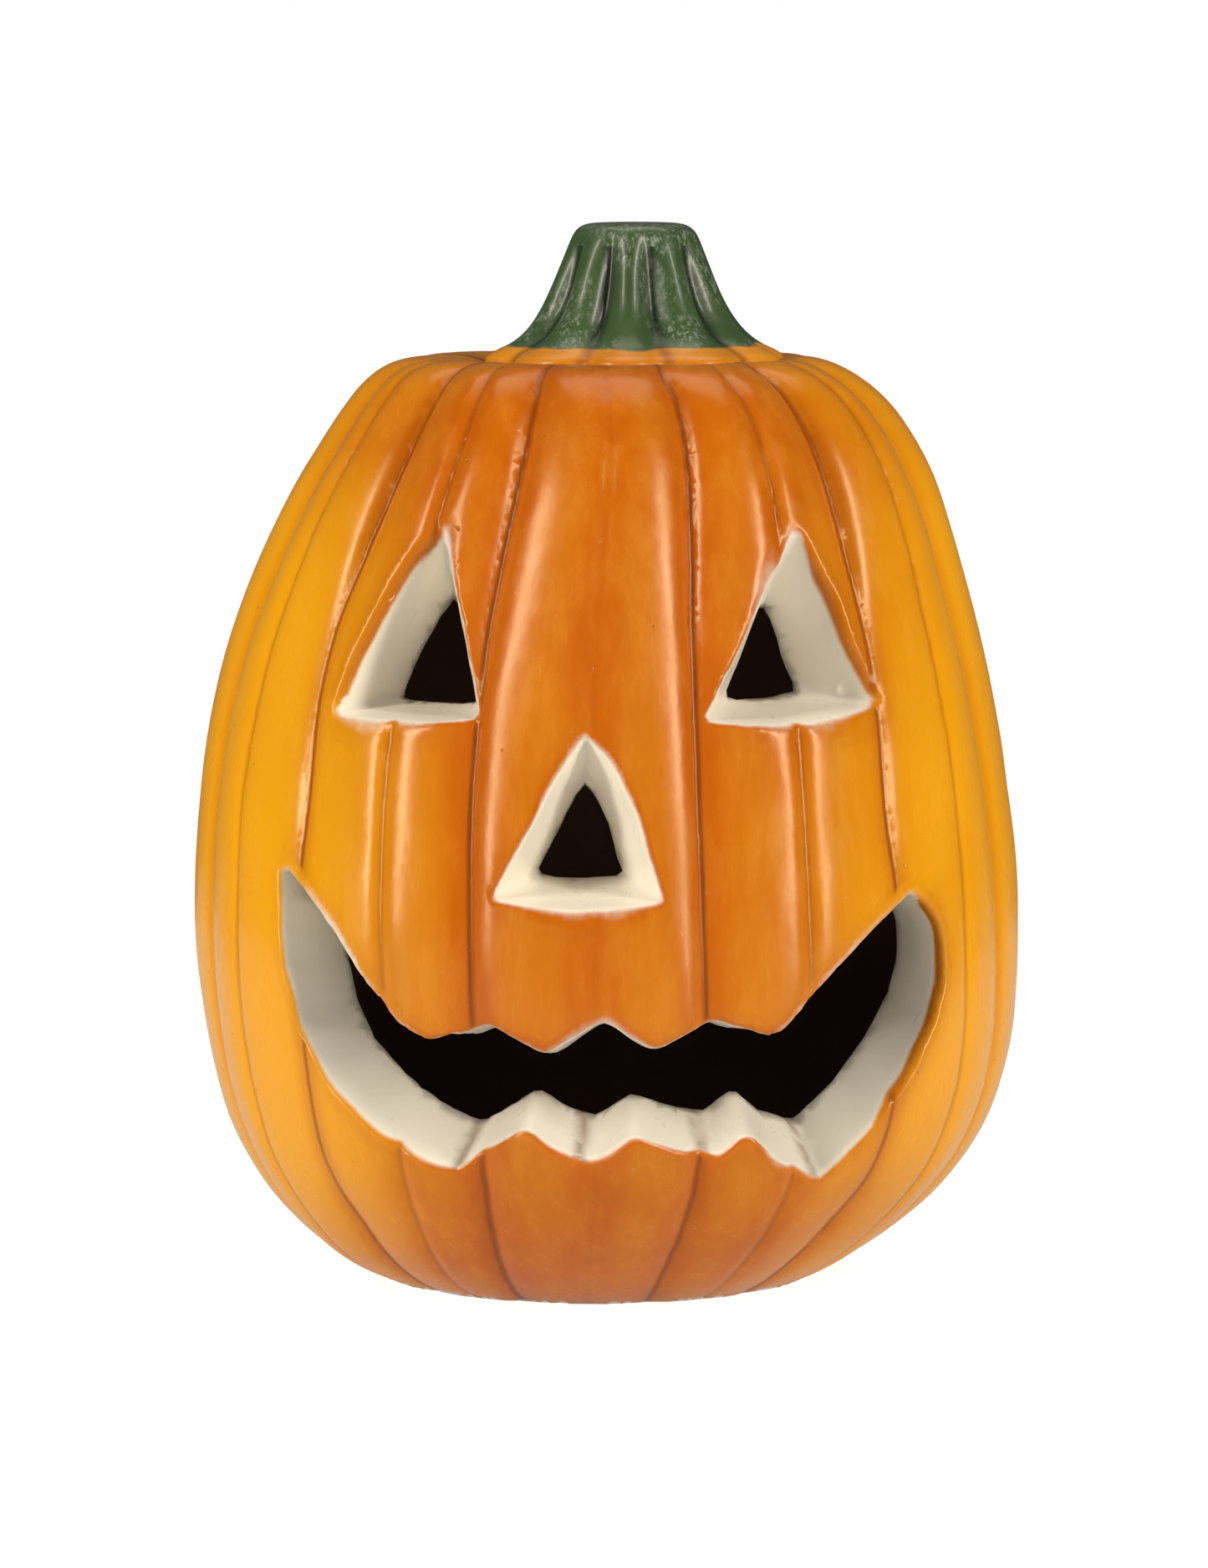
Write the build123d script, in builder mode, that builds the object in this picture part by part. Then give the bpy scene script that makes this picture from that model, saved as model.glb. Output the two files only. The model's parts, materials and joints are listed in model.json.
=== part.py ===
from build123d import *
import os
from math import cos, pi, radians, sin, sqrt

# Ceramic jack-o'-lantern with a plug-in battery light, in millimetres.
# The origin is on the table under the middle of the lantern. +Z is up, the face
# looks along -Y, and +X is on the right of someone facing it.

os.makedirs("parts", exist_ok=True)

# ---------------------------------------------------------------- driving sizes
TOTAL_HEIGHT = 250.0
SEAT_HEIGHT = 217.0        # flat on top of the body, where the stem is luted on
RIBS = 12
POINTS_PER_RIB = 6
RIB_FULLNESS = 2.6         # 2 is a round rib, more is a fuller one with a tighter groove
WALL = 9.0                 # crest of a rib to the smooth inside
COLLAR_DEPTH = 20.0        # how far the cast edges of the face turn inwards
COLLAR_WALL = 5.0
FLOOR_TOP = 12.0
BASE_RECESS = 4.0          # the base is raised inside the foot ring
RECESS_RADIUS = 45.0
HOLE_RADIUS = 38.0
VENT_RADIUS = 8.0
STEM_LOBES = 10
STEM_TURN = radians(-22)
STEM_X = 6.5               # the stem stands a little to the right of the middle

# Body rings: height, radius over the rib crests, depth of the grooves, sideways lean
BODY_RINGS = [
    (0, 53.5, 3.0, -2.0),
    (2, 59.5, 3.4, -2.0),
    (6, 67.5, 3.8, -1.8),
    (12, 75.0, 4.0, -1.5),
    (20, 82.0, 4.2, -1.0),
    (32, 89.5, 4.4, 0.0),
    (46, 94.8, 4.5, 0.7),
    (62, 98.0, 4.5, 0.9),
    (80, 98.8, 4.5, 0.0),
    (98, 98.4, 4.5, -0.7),
    (118, 96.7, 4.5, -1.0),
    (138, 93.0, 4.6, -1.0),
    (158, 87.6, 4.8, -0.2),
    (176, 81.0, 5.0, 1.2),
    (190, 74.3, 5.2, 2.4),
    (202, 67.0, 5.2, 2.6),
    (210, 60.0, 5.0, 2.2),
    (215, 52.0, 4.4, 1.6),
    (SEAT_HEIGHT, 46.0, 3.6, 1.4),
]
# Stem rings: height, radius, depth of the grooves
STEM_RINGS = [
    (SEAT_HEIGHT, 36.0, 2.2),
    (219.5, 34.0, 2.4),
    (222, 29.0, 2.6),
    (227, 24.0, 2.6),
    (233, 20.5, 2.4),
    (240, 18.0, 2.0),
    (246, 16.0, 1.4),
    (249, 14.2, 0.8),
    (TOTAL_HEIGHT, 12.5, 0.5),
]

# Face outlines where they meet the skin, as (x, z), going round once
LEFT_EYE = [(-34.6, 181.5), (-42, 173), (-50, 160), (-56, 145), (-57.4, 139.5), (-40, 138.5), (-24.5, 139.5)]
RIGHT_EYE = [(46, 179.5), (24.5, 139.5), (44, 138), (64, 141), (58.5, 152), (52, 166)]
NOSE = [(-0.9, 137.5), (-8.5, 127), (-14, 116), (-23.8, 99), (-2.7, 97.5), (17.3, 99), (15.5, 105.5), (5, 131.5)]
MOUTH = [
    (-72.5, 104), (-62, 93.5), (-53, 81), (-44, 71), (-37, 66.5), (-23.5, 71.5), (-10, 65),
    (3, 72.5), (15, 66), (28.5, 72.5), (40, 68), (44, 68.5), (52.5, 78.5), (64.5, 91), (74, 98),
    (76, 91), (75, 78), (71, 66), (66, 54), (60, 43), (52, 33), (43, 37.5), (36, 45), (29, 39),
    (21, 40.5), (10, 45.5), (1, 39.5), (-7.5, 41.5), (-15, 46.5), (-31, 36), (-36, 36.8),
    (-45, 40.5), (-53.5, 47), (-60.5, 57), (-66, 68), (-69, 81), (-72.5, 95),
]
# The collar behind the mouth follows it without the teeth
MOUTH_COLLAR = [
    (-79, 109), (-66, 103), (-55, 90), (-41, 78), (-10, 79), (28, 79), (46, 77), (58, 90),
    (70, 103), (80, 104), (83, 90), (79, 66), (68, 43), (54, 27), (28, 32), (-10, 33),
    (-34, 29.5), (-50, 36), (-64, 50), (-74, 76),
]

# Light unit: a tray and cover that plug into the hole in the base from below
UNIT_BOTTOM = 1.8
PLATE = 1.8
PLATE_TOP = UNIT_BOTTOM + PLATE
FLANGE_RADIUS = 43.0
NOTCH_RADIUS, NOTCH_Y = 7.0, 47.5      # finger notches in the flange
TRAY_RADIUS, TRAY_WALL = 37.4, 2.0
TRAY_TOP = 20.0
COVER_TOP = 21.6
RING_LOW, RING_HIGH = 6.5, 9.5
RING_GROOVE_RADIUS = TRAY_RADIUS - 1.2
RING_RADIUS = HOLE_RADIUS - 0.05       # running clearance in the hole
GAP = 0.4                              # between pieces that move past each other

DOOR_WIDTH, DOOR_START, DOOR_END = 37.0, -25.0, 27.0
DOOR_THICKNESS = 1.4
HINGE_Y, HINGE_Z = -28.0, UNIT_BOTTOM + 2.0
KNUCKLE_RADIUS, KNUCKLE_LENGTH = 2.0, 20.0
EAR_LENGTH, EAR_SIZE = 6.0, 3.6
PIN_RADIUS, PIN_BORE = 0.75, 0.8
PIN_LENGTH = KNUCKLE_LENGTH + 2 * (EAR_LENGTH + GAP)

BAY_START, BAY_END = -24.6, 25.4       # inside faces of the bay's end walls
BAY_WALL = 0.9
BATTERY_RADIUS, BATTERY_LENGTH, BATTERY_PITCH = 5.25, 44.5, 11.4
NUB_RADIUS, NUB_LENGTH = 1.9, 0.8
BATTERY_Z = PLATE_TOP + 0.7 + BATTERY_RADIUS
CONTACT_THICKNESS = 0.4
CONTACT_SIZE = 9.0
SPRING_WIRE = 0.3
BOARD_Z, BOARD_THICKNESS, BOARD_RADIUS = 15.6, 1.2, 26.0
BOARD_TOP = BOARD_Z + BOARD_THICKNESS

SCREW_CIRCLE = 30.6
POST_RADIUS, SCREW_RADIUS, SCREW_HEAD_RADIUS = 3.2, 1.05, 2.2
SCREW_HOLE, SCREW_SINK = 1.1, 3.0
SCREW_PLACES = [
    (SCREW_CIRCLE * cos(radians(angle)), SCREW_CIRCLE * sin(radians(angle)))
    for angle in (40, 140, 220, 320)
]

SWITCH_X = 26.5
SWITCH_LOW = 8.0
KNOB_TRAVEL = 1.5                      # each way from the middle
KNOB_WIDTH, KNOB_LENGTH = 2.8, 4.0
KNOB_SHAFT_WIDTH, KNOB_SHAFT_LENGTH = 1.6, 2.0

DIFFUSER_RADIUS, DIFFUSER_WALL, DIFFUSER_TOP = 12.5, 1.2, 33.0
LED_RADIUS = 2.5


# ------------------------------------------------------------- shared geometry
def lobed_ring(radius, groove, lobes, turn=0.0, centre_x=0.0):
    """Points of one ring: full lobes that meet in tight grooves."""
    count = lobes * POINTS_PER_RIB
    points = []
    for step in range(count):
        across = 2 * (step % POINTS_PER_RIB) / POINTS_PER_RIB - 1
        local = radius - groove * abs(across) ** RIB_FULLNESS
        angle = 2 * pi * (step - POINTS_PER_RIB / 2) / count + turn
        points.append((centre_x + local * sin(angle), -local * cos(angle)))
    return points


def ring_value(height, column):
    """Body ring value at any height, between the two rings around it."""
    for low, high in zip(BODY_RINGS, BODY_RINGS[1:]):
        if low[0] <= height <= high[0]:
            share = (height - low[0]) / (high[0] - low[0])
            return low[column] + share * (high[column] - low[column])
    return BODY_RINGS[-1][column]


def skin_y(x, z):
    """Y of the skin at the front of the body."""
    radius = ring_value(z, 1) - 2
    return -sqrt(radius ** 2 - x ** 2)


def centre_of(outline):
    """Middle of an outline's points."""
    return sum(p[0] for p in outline) / len(outline), sum(p[1] for p in outline) / len(outline)


def section(outline, y, meet_y, taper):
    """The outline where its walls cross the plane at y.

    The side walls head for the upright line at meet_y, and taper is how much
    smaller the outline gets in 20 mm of depth.
    """
    centre_x, centre_z = centre_of(outline)
    points = []
    for x, z in outline:
        skin = skin_y(x, z)
        scale = 1 - taper * (y - skin) / COLLAR_DEPTH
        converge = (meet_y - y) / (meet_y - skin)
        points.append(((centre_x + (x - centre_x) * scale) * converge, centre_z + (z - centre_z) * scale))
    return points


def spread(outline, margin):
    """A copy of a roughly triangular outline, larger by the margin all round."""
    centre_x, centre_z = centre_of(outline)
    size = min(max(abs(x - centre_x) for x, z in outline), max(abs(z - centre_z) for x, z in outline))
    grow = 1 + 2 * margin / size
    return [(centre_x + (x - centre_x) * grow, centre_z + (z - centre_z) * grow) for x, z in outline]


# Each opening: outline, collar outline, near plane, far plane, meeting line, taper
OPENINGS = [
    (LEFT_EYE, spread(LEFT_EYE, COLLAR_WALL), -100.0, -46.0, 0.0, 0.26),
    (RIGHT_EYE, spread(RIGHT_EYE, COLLAR_WALL), -100.0, -42.0, 0.0, 0.26),
    (NOSE, spread(NOSE, COLLAR_WALL), -104.0, -66.0, 0.0, 0.34),
    (MOUTH, MOUTH_COLLAR, -106.0, -34.0, 40.0, 0.1),
]


# ------------------------------------------------------------------------- body
with BuildPart() as cavity:
    with BuildSketch(Plane.XZ):
        with BuildLine():
            inner = [(radius - WALL, height) for height, radius, groove, lean in BODY_RINGS if 40 < height < 200]
            Polyline((0, SEAT_HEIGHT - WALL), (0, FLOOR_TOP), (58, FLOOR_TOP))
            Spline([(58, FLOOR_TOP), (71, 21), (80, 33)] + inner + [(52, 204), (40, SEAT_HEIGHT - WALL)])
            Line((40, SEAT_HEIGHT - WALL), (0, SEAT_HEIGHT - WALL))
        make_face()
    revolve(axis=Axis.Z)
    for outline, collar, near, far, meet_y, taper in OPENINGS:
        for y in (near, far):
            with BuildSketch(Plane.XZ.offset(-y)):
                Polygon(*section(collar, y, meet_y, taper), align=None)
        loft(ruled=True, mode=Mode.SUBTRACT)
    with BuildSketch(Plane.XZ):
        with BuildLine():
            core = [(radius - COLLAR_DEPTH, height) for height, radius, groove, lean in BODY_RINGS if 40 < height < 200]
            Polyline((0, 204), (0, FLOOR_TOP), (58, FLOOR_TOP))
            Spline([(58, FLOOR_TOP), (66, 24)] + core + [(40, 204)])
            Line((40, 204), (0, 204))
        make_face()
    revolve(axis=Axis.Z)

with BuildPart() as pumpkin_shell:
    for height, radius, groove, lean in BODY_RINGS:
        with BuildSketch(Plane.XY.offset(height)):
            with BuildLine():
                Spline(lobed_ring(radius, groove, RIBS, centre_x=lean), periodic=True)
            make_face()
    loft(ruled=True)
    add(cavity.part, mode=Mode.SUBTRACT)
    for outline, collar, near, far, meet_y, taper in OPENINGS:
        for y in (near, far):
            with BuildSketch(Plane.XZ.offset(-y)):
                Polygon(*section(outline, y, meet_y, taper), align=None)
        loft(ruled=True, mode=Mode.SUBTRACT)
    with BuildSketch(Plane.XY):
        Circle(RECESS_RADIUS)
    extrude(amount=BASE_RECESS, mode=Mode.SUBTRACT)
    with BuildSketch(Plane.XY):
        Circle(HOLE_RADIUS)
    extrude(amount=FLOOR_TOP, mode=Mode.SUBTRACT)
    with BuildSketch(Plane.XY.offset(SEAT_HEIGHT - WALL)):
        with Locations((STEM_X, 0)):
            Circle(VENT_RADIUS)
    extrude(amount=WALL, mode=Mode.SUBTRACT)
pumpkin_shell.part.label = "pumpkin_shell"
export_step(pumpkin_shell.part, "parts/pumpkin_shell.step")

with BuildPart() as stem:
    for height, radius, groove in STEM_RINGS:
        with BuildSketch(Plane.XY.offset(height)):
            with BuildLine():
                Spline(lobed_ring(radius, groove, STEM_LOBES, STEM_TURN, STEM_X), periodic=True)
            make_face()
    loft(ruled=True)
    with BuildSketch(Plane.XY.offset(SEAT_HEIGHT)):
        with Locations((STEM_X, 0)):
            Circle(VENT_RADIUS + 2)
    extrude(amount=20, taper=8, mode=Mode.SUBTRACT)
stem.part.label = "stem"
export_step(stem.part, "parts/stem.step")

# ------------------------------------------------------------------- light unit
with BuildPart() as light_base:
    with BuildSketch(Plane.XY.offset(UNIT_BOTTOM)):
        Circle(FLANGE_RADIUS)
        with Locations((0, NOTCH_Y), (0, -NOTCH_Y)):
            Circle(NOTCH_RADIUS, mode=Mode.SUBTRACT)
    extrude(amount=PLATE)
    chamfer(light_base.edges().group_by(Axis.Z)[0], 0.5)
    with BuildSketch(Plane.XY.offset(PLATE_TOP)):
        Circle(TRAY_RADIUS)
        Circle(TRAY_RADIUS - TRAY_WALL, mode=Mode.SUBTRACT)
    extrude(amount=TRAY_TOP - PLATE_TOP)
    with BuildSketch(Plane.XY.offset(RING_LOW)):
        Circle(TRAY_RADIUS)
        Circle(RING_GROOVE_RADIUS, mode=Mode.SUBTRACT)
    extrude(amount=RING_HIGH - RING_LOW, mode=Mode.SUBTRACT)
    # battery bay: two side walls, and two end walls that hold the contacts
    with BuildSketch(Plane.XY.offset(PLATE_TOP)):
        with Locations((-DOOR_WIDTH / 2 - GAP, 0), (DOOR_WIDTH / 2 + GAP, 0)):
            Rectangle(1.6, BAY_END - BAY_START + 2 * BAY_WALL)
        with Locations((0, BAY_START - BAY_WALL / 2), (0, BAY_END + BAY_WALL / 2)):
            Rectangle(DOOR_WIDTH, BAY_WALL)
    extrude(amount=BOARD_Z - PLATE_TOP)
    # door opening, with room for the hinge knuckle
    with BuildSketch(Plane.XY.offset(UNIT_BOTTOM)):
        opening_start = DOOR_START - 1
        with Locations((0, (opening_start + DOOR_END + GAP) / 2)):
            Rectangle(DOOR_WIDTH + 2 * GAP, DOOR_END + GAP - opening_start)
        with Locations((0, HINGE_Y)):
            Rectangle(KNUCKLE_LENGTH + 2 * GAP, 2 * (KNUCKLE_RADIUS + GAP))
    extrude(amount=PLATE, mode=Mode.SUBTRACT)
    # ears for the hinge pin
    for start in (KNUCKLE_LENGTH / 2 + GAP, -KNUCKLE_LENGTH / 2 - GAP - EAR_LENGTH):
        with BuildSketch(Plane.YZ.offset(start)):
            with Locations((HINGE_Y, HINGE_Z)):
                Rectangle(EAR_SIZE, EAR_SIZE)
        extrude(amount=EAR_LENGTH)
        with BuildSketch(Plane.YZ.offset(start)):
            with Locations((HINGE_Y, HINGE_Z)):
                Circle(PIN_BORE)
        extrude(amount=EAR_LENGTH, mode=Mode.SUBTRACT)
    # screw posts, bored through and counterbored from below
    with BuildSketch(Plane.XY.offset(PLATE_TOP)):
        with Locations(*SCREW_PLACES):
            Circle(POST_RADIUS)
    extrude(amount=TRAY_TOP - PLATE_TOP)
    with BuildSketch(Plane.XY.offset(UNIT_BOTTOM)):
        with Locations(*SCREW_PLACES):
            Circle(SCREW_HEAD_RADIUS + 0.2)
    extrude(amount=SCREW_SINK, mode=Mode.SUBTRACT)
    with BuildSketch(Plane.XY.offset(UNIT_BOTTOM)):
        with Locations(*SCREW_PLACES):
            Circle(SCREW_HOLE)
    extrude(amount=TRAY_TOP - UNIT_BOTTOM, mode=Mode.SUBTRACT)
    # slot for the switch knob
    with BuildSketch(Plane.XY.offset(UNIT_BOTTOM)):
        with Locations((SWITCH_X, 0)):
            Rectangle(KNOB_WIDTH + 2 * GAP, KNOB_LENGTH + 2 * (KNOB_TRAVEL + GAP))
    extrude(amount=PLATE, mode=Mode.SUBTRACT)
light_base.part.label = "light_base"
export_step(light_base.part, "parts/light_base.step")

with BuildPart() as light_cover:
    with BuildSketch(Plane.XY.offset(TRAY_TOP)):
        Circle(TRAY_RADIUS)
        Circle(DIFFUSER_RADIUS - DIFFUSER_WALL, mode=Mode.SUBTRACT)
    extrude(amount=COVER_TOP - TRAY_TOP)
    chamfer(light_cover.edges().group_by(Axis.Z)[-1].sort_by(SortBy.LENGTH)[-1], 0.6)
    with BuildSketch(Plane.XY.offset(COVER_TOP)):
        with Locations(*SCREW_PLACES):
            Circle(POST_RADIUS)
    extrude(amount=3)
    with BuildSketch(Plane.XY.offset(TRAY_TOP)):
        with Locations(*SCREW_PLACES):
            Circle(SCREW_HOLE)
    extrude(amount=3.6, mode=Mode.SUBTRACT)
light_cover.part.label = "light_cover"
export_step(light_cover.part, "parts/light_cover.step")

with BuildPart() as retaining_ring:
    with BuildSketch(Plane.XZ):
        with BuildLine():
            middle = (RING_LOW + RING_HIGH) / 2
            Polyline((RING_RADIUS - 0.8, RING_HIGH), (RING_GROOVE_RADIUS, RING_HIGH),
                     (RING_GROOVE_RADIUS, RING_LOW), (RING_RADIUS - 0.8, RING_LOW))
            ThreePointArc((RING_RADIUS - 0.8, RING_LOW), (RING_RADIUS, middle), (RING_RADIUS - 0.8, RING_HIGH))
        make_face()
    revolve(axis=Axis.Z)
retaining_ring.part.label = "retaining_ring"
export_step(retaining_ring.part, "parts/retaining_ring.step")

with BuildPart() as diffuser:
    with BuildSketch(Plane.XZ):
        with BuildLine():
            Polyline((0, DIFFUSER_TOP), (0, DIFFUSER_TOP - DIFFUSER_WALL))
            Spline((0, DIFFUSER_TOP - DIFFUSER_WALL), (6.4, 29.2), (10.2, 25.2), (11.3, COVER_TOP),
                   tangents=((1, 0), (0, -1)))
            Polyline((11.3, COVER_TOP), (14.5, COVER_TOP), (14.5, COVER_TOP + 1), (DIFFUSER_RADIUS, COVER_TOP + 1))
            Spline((DIFFUSER_RADIUS, COVER_TOP + 1), (11.4, 25.8), (7.1, 30.4), (0, DIFFUSER_TOP),
                   tangents=((0, 1), (-1, 0)))
        make_face()
    revolve(axis=Axis.Z)
diffuser.part.label = "diffuser"
export_step(diffuser.part, "parts/diffuser.step")

with BuildPart() as circuit_board:
    with BuildSketch(Plane.XY.offset(BOARD_Z)):
        Circle(BOARD_RADIUS)
        with Locations((SWITCH_X, 0)):
            RectangleRounded(14, 15, 1.5)
    extrude(amount=BOARD_THICKNESS)
circuit_board.part.label = "circuit_board"
export_step(circuit_board.part, "parts/circuit_board.step")

with BuildPart() as led:
    with BuildSketch(Plane.XZ):
        with BuildLine():
            Polyline((LED_RADIUS, 22.2), (LED_RADIUS, BOARD_TOP + 1), (LED_RADIUS + 0.4, BOARD_TOP + 1),
                     (LED_RADIUS + 0.4, BOARD_TOP), (0, BOARD_TOP), (0, 22.2 + LED_RADIUS))
            ThreePointArc((0, 22.2 + LED_RADIUS), (LED_RADIUS * sin(pi / 4), 22.2 + LED_RADIUS * cos(pi / 4)),
                          (LED_RADIUS, 22.2))
        make_face()
    revolve(axis=Axis.Z)
led.part.label = "led"
export_step(led.part, "parts/led.step")

with BuildPart() as flicker_chip:
    with BuildSketch(Plane.XY.offset(BOARD_TOP)):
        with Locations((11, 7)):
            Rectangle(5, 4)
    extrude(amount=1.4)
    chamfer(flicker_chip.edges().group_by(Axis.Z)[-1], 0.3)
flicker_chip.part.label = "flicker_chip"
export_step(flicker_chip.part, "parts/flicker_chip.step")

with BuildPart() as resistor:
    with BuildSketch(Plane.XY.offset(BOARD_TOP)):
        with Locations((10, -6)):
            Rectangle(3.2, 1.6)
    extrude(amount=0.6)
resistor.part.label = "resistor"
export_step(resistor.part, "parts/resistor.step")

with BuildPart() as switch_body:
    with BuildSketch(Plane.XY.offset(SWITCH_LOW)):
        with Locations((SWITCH_X, 0)):
            Rectangle(6, 11)
    extrude(amount=BOARD_Z - SWITCH_LOW)
    with BuildSketch(Plane.XY.offset(SWITCH_LOW)):
        with Locations((SWITCH_X, 0)):
            Rectangle(KNOB_SHAFT_WIDTH + 2 * GAP, KNOB_SHAFT_LENGTH + 2 * (KNOB_TRAVEL + GAP))
    extrude(amount=3, mode=Mode.SUBTRACT)
switch_body.part.label = "switch_body"
export_step(switch_body.part, "parts/switch_body.step")

with BuildPart() as switch_knob:
    with BuildSketch(Plane.XY.offset(UNIT_BOTTOM + 0.3)):
        with Locations((SWITCH_X, 0)):
            Rectangle(KNOB_WIDTH, KNOB_LENGTH)
    extrude(amount=1.4)
    with BuildSketch(Plane.XY.offset(UNIT_BOTTOM + 0.3)):
        with Locations((SWITCH_X, -1), (SWITCH_X, 0), (SWITCH_X, 1)):
            Rectangle(KNOB_WIDTH, 0.4)
    extrude(amount=0.4, mode=Mode.SUBTRACT)
    with BuildSketch(Plane.XY.offset(UNIT_BOTTOM + 1.7)):
        with Locations((SWITCH_X, 0)):
            Rectangle(KNOB_SHAFT_WIDTH, KNOB_SHAFT_LENGTH)
    extrude(amount=SWITCH_LOW + 3 - GAP - UNIT_BOTTOM - 1.7)
switch_knob.part.label = "switch_knob"
export_step(switch_knob.part, "parts/switch_knob.step")

with BuildPart() as housing_screws:
    with BuildSketch(Plane.XY.offset(UNIT_BOTTOM + SCREW_SINK - 1.6)):
        with Locations(*SCREW_PLACES):
            Circle(SCREW_HEAD_RADIUS)
    extrude(amount=1.6)
    with BuildSketch(Plane.XY.offset(UNIT_BOTTOM + SCREW_SINK - 1.6)):
        for place in SCREW_PLACES:
            with Locations(place):
                Rectangle(2.6, 0.6)
                Rectangle(0.6, 2.6)
    extrude(amount=0.8, mode=Mode.SUBTRACT)
    with BuildSketch(Plane.XY.offset(UNIT_BOTTOM + SCREW_SINK)):
        with Locations(*SCREW_PLACES):
            Circle(SCREW_RADIUS)
    extrude(amount=COVER_TOP + 1.6 - UNIT_BOTTOM - SCREW_SINK)
housing_screws.part.label = "housing_screws"
export_step(housing_screws.part, "parts/housing_screws.step")

# ---------------------------------------------------------- batteries and contacts
# The middle battery lies the other way round, so the three are in series.
for number, (column, flipped) in enumerate([(-1, False), (0, True), (1, False)], start=1):
    plus_end = BAY_START + CONTACT_THICKNESS if flipped else BAY_END - CONTACT_THICKNESS
    facing = 1 if flipped else -1
    with BuildPart() as battery:
        with BuildSketch(Plane.XZ.offset(-plus_end)):
            with Locations((column * BATTERY_PITCH, BATTERY_Z)):
                Circle(NUB_RADIUS)
        extrude(amount=-facing * NUB_LENGTH)
        with BuildSketch(Plane.XZ.offset(-plus_end - facing * NUB_LENGTH)):
            with Locations((column * BATTERY_PITCH, BATTERY_Z)):
                Circle(BATTERY_RADIUS)
        extrude(amount=-facing * (BATTERY_LENGTH - NUB_LENGTH))
        chamfer(battery.edges().filter_by(GeomType.CIRCLE).filter_by(lambda edge: edge.radius > 5), 0.5)
    battery.part.label = f"battery_{number}"
    export_step(battery.part, f"parts/battery_{number}.step")

with BuildPart() as contact_plates:
    # each entry: inside face of the wall, direction into the bay, middle, width
    wide = BATTERY_PITCH + CONTACT_SIZE
    for face, inward, middle, width in [
        (BAY_START, 1, -BATTERY_PITCH, CONTACT_SIZE),
        (BAY_START, 1, BATTERY_PITCH / 2, wide),
        (BAY_END, -1, -BATTERY_PITCH / 2, wide),
        (BAY_END, -1, BATTERY_PITCH, CONTACT_SIZE),
    ]:
        with BuildSketch(Plane.XZ.offset(-face)):
            with Locations((middle, BATTERY_Z)):
                Rectangle(width, CONTACT_SIZE)
            if width == CONTACT_SIZE:
                with Locations((middle, (BATTERY_Z + BOARD_Z) / 2)):
                    Rectangle(3, BOARD_Z - BATTERY_Z)
        extrude(amount=-inward * CONTACT_THICKNESS)
contact_plates.part.label = "contact_plates"
export_step(contact_plates.part, "parts/contact_plates.step")

with BuildPart() as contact_springs:
    # cone springs on the minus ends, from the contact plate to the battery
    room = BAY_END - BAY_START - 2 * CONTACT_THICKNESS - BATTERY_LENGTH
    rise = room - 2 * SPRING_WIRE - 0.1
    for column, start, inward in [
        (-1, BAY_START + CONTACT_THICKNESS, 1), (0, BAY_END - CONTACT_THICKNESS, -1),
        (1, BAY_START + CONTACT_THICKNESS, 1),
    ]:
        base = (column * BATTERY_PITCH, start + inward * (SPRING_WIRE + 0.05), BATTERY_Z)
        with BuildLine(Plane.XY):
            coil = Helix(pitch=rise / 3, height=rise, radius=3.4, center=base,
                         direction=(0, inward, 0), cone_angle=-20)
        with BuildSketch(Plane(origin=coil @ 0, z_dir=coil % 0)):
            Circle(SPRING_WIRE)
        sweep(path=coil)
contact_springs.part.label = "contact_springs"
export_step(contact_springs.part, "parts/contact_springs.step")

# -------------------------------------------------------------------- battery door
with BuildPart() as battery_door:
    with BuildSketch(Plane.XY.offset(UNIT_BOTTOM)):
        with Locations((0, (DOOR_START + DOOR_END) / 2)):
            Rectangle(DOOR_WIDTH, DOOR_END - DOOR_START)
        with Locations((0, (HINGE_Y + DOOR_START) / 2)):
            Rectangle(KNUCKLE_LENGTH, DOOR_START - HINGE_Y)
        with Locations((0, DOOR_END)):
            Rectangle(9, 1.6, mode=Mode.SUBTRACT)
    extrude(amount=DOOR_THICKNESS)
    with BuildSketch(Plane.YZ.offset(-KNUCKLE_LENGTH / 2)):
        with Locations((HINGE_Y, HINGE_Z)):
            Circle(KNUCKLE_RADIUS)
    extrude(amount=KNUCKLE_LENGTH)
    with BuildSketch(Plane.YZ.offset(-KNUCKLE_LENGTH / 2)):
        with Locations((HINGE_Y, HINGE_Z)):
            Circle(PIN_BORE)
    extrude(amount=KNUCKLE_LENGTH, mode=Mode.SUBTRACT)
    # grip grooves near the free edge
    with BuildSketch(Plane.XY.offset(UNIT_BOTTOM)):
        with GridLocations(0, 2.4, 1, 4):
            with Locations((0, DOOR_END - 8)):
                SlotOverall(12, 0.9)
    extrude(amount=0.5, mode=Mode.SUBTRACT)
battery_door.part.label = "battery_door"
export_step(battery_door.part, "parts/battery_door.step")

with BuildPart() as hinge_pin:
    with BuildSketch(Plane.YZ.offset(-PIN_LENGTH / 2)):
        with Locations((HINGE_Y, HINGE_Z)):
            Circle(PIN_RADIUS)
    extrude(amount=PIN_LENGTH)
hinge_pin.part.label = "hinge_pin"
export_step(hinge_pin.part, "parts/hinge_pin.step")
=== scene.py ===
import json
import math
import bpy
import bmesh
from mathutils import Matrix, Vector, noise
from mathutils.bvhtree import BVHTree
from mathutils.geometry import intersect_point_line
from mathutils.kdtree import KDTree


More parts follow.
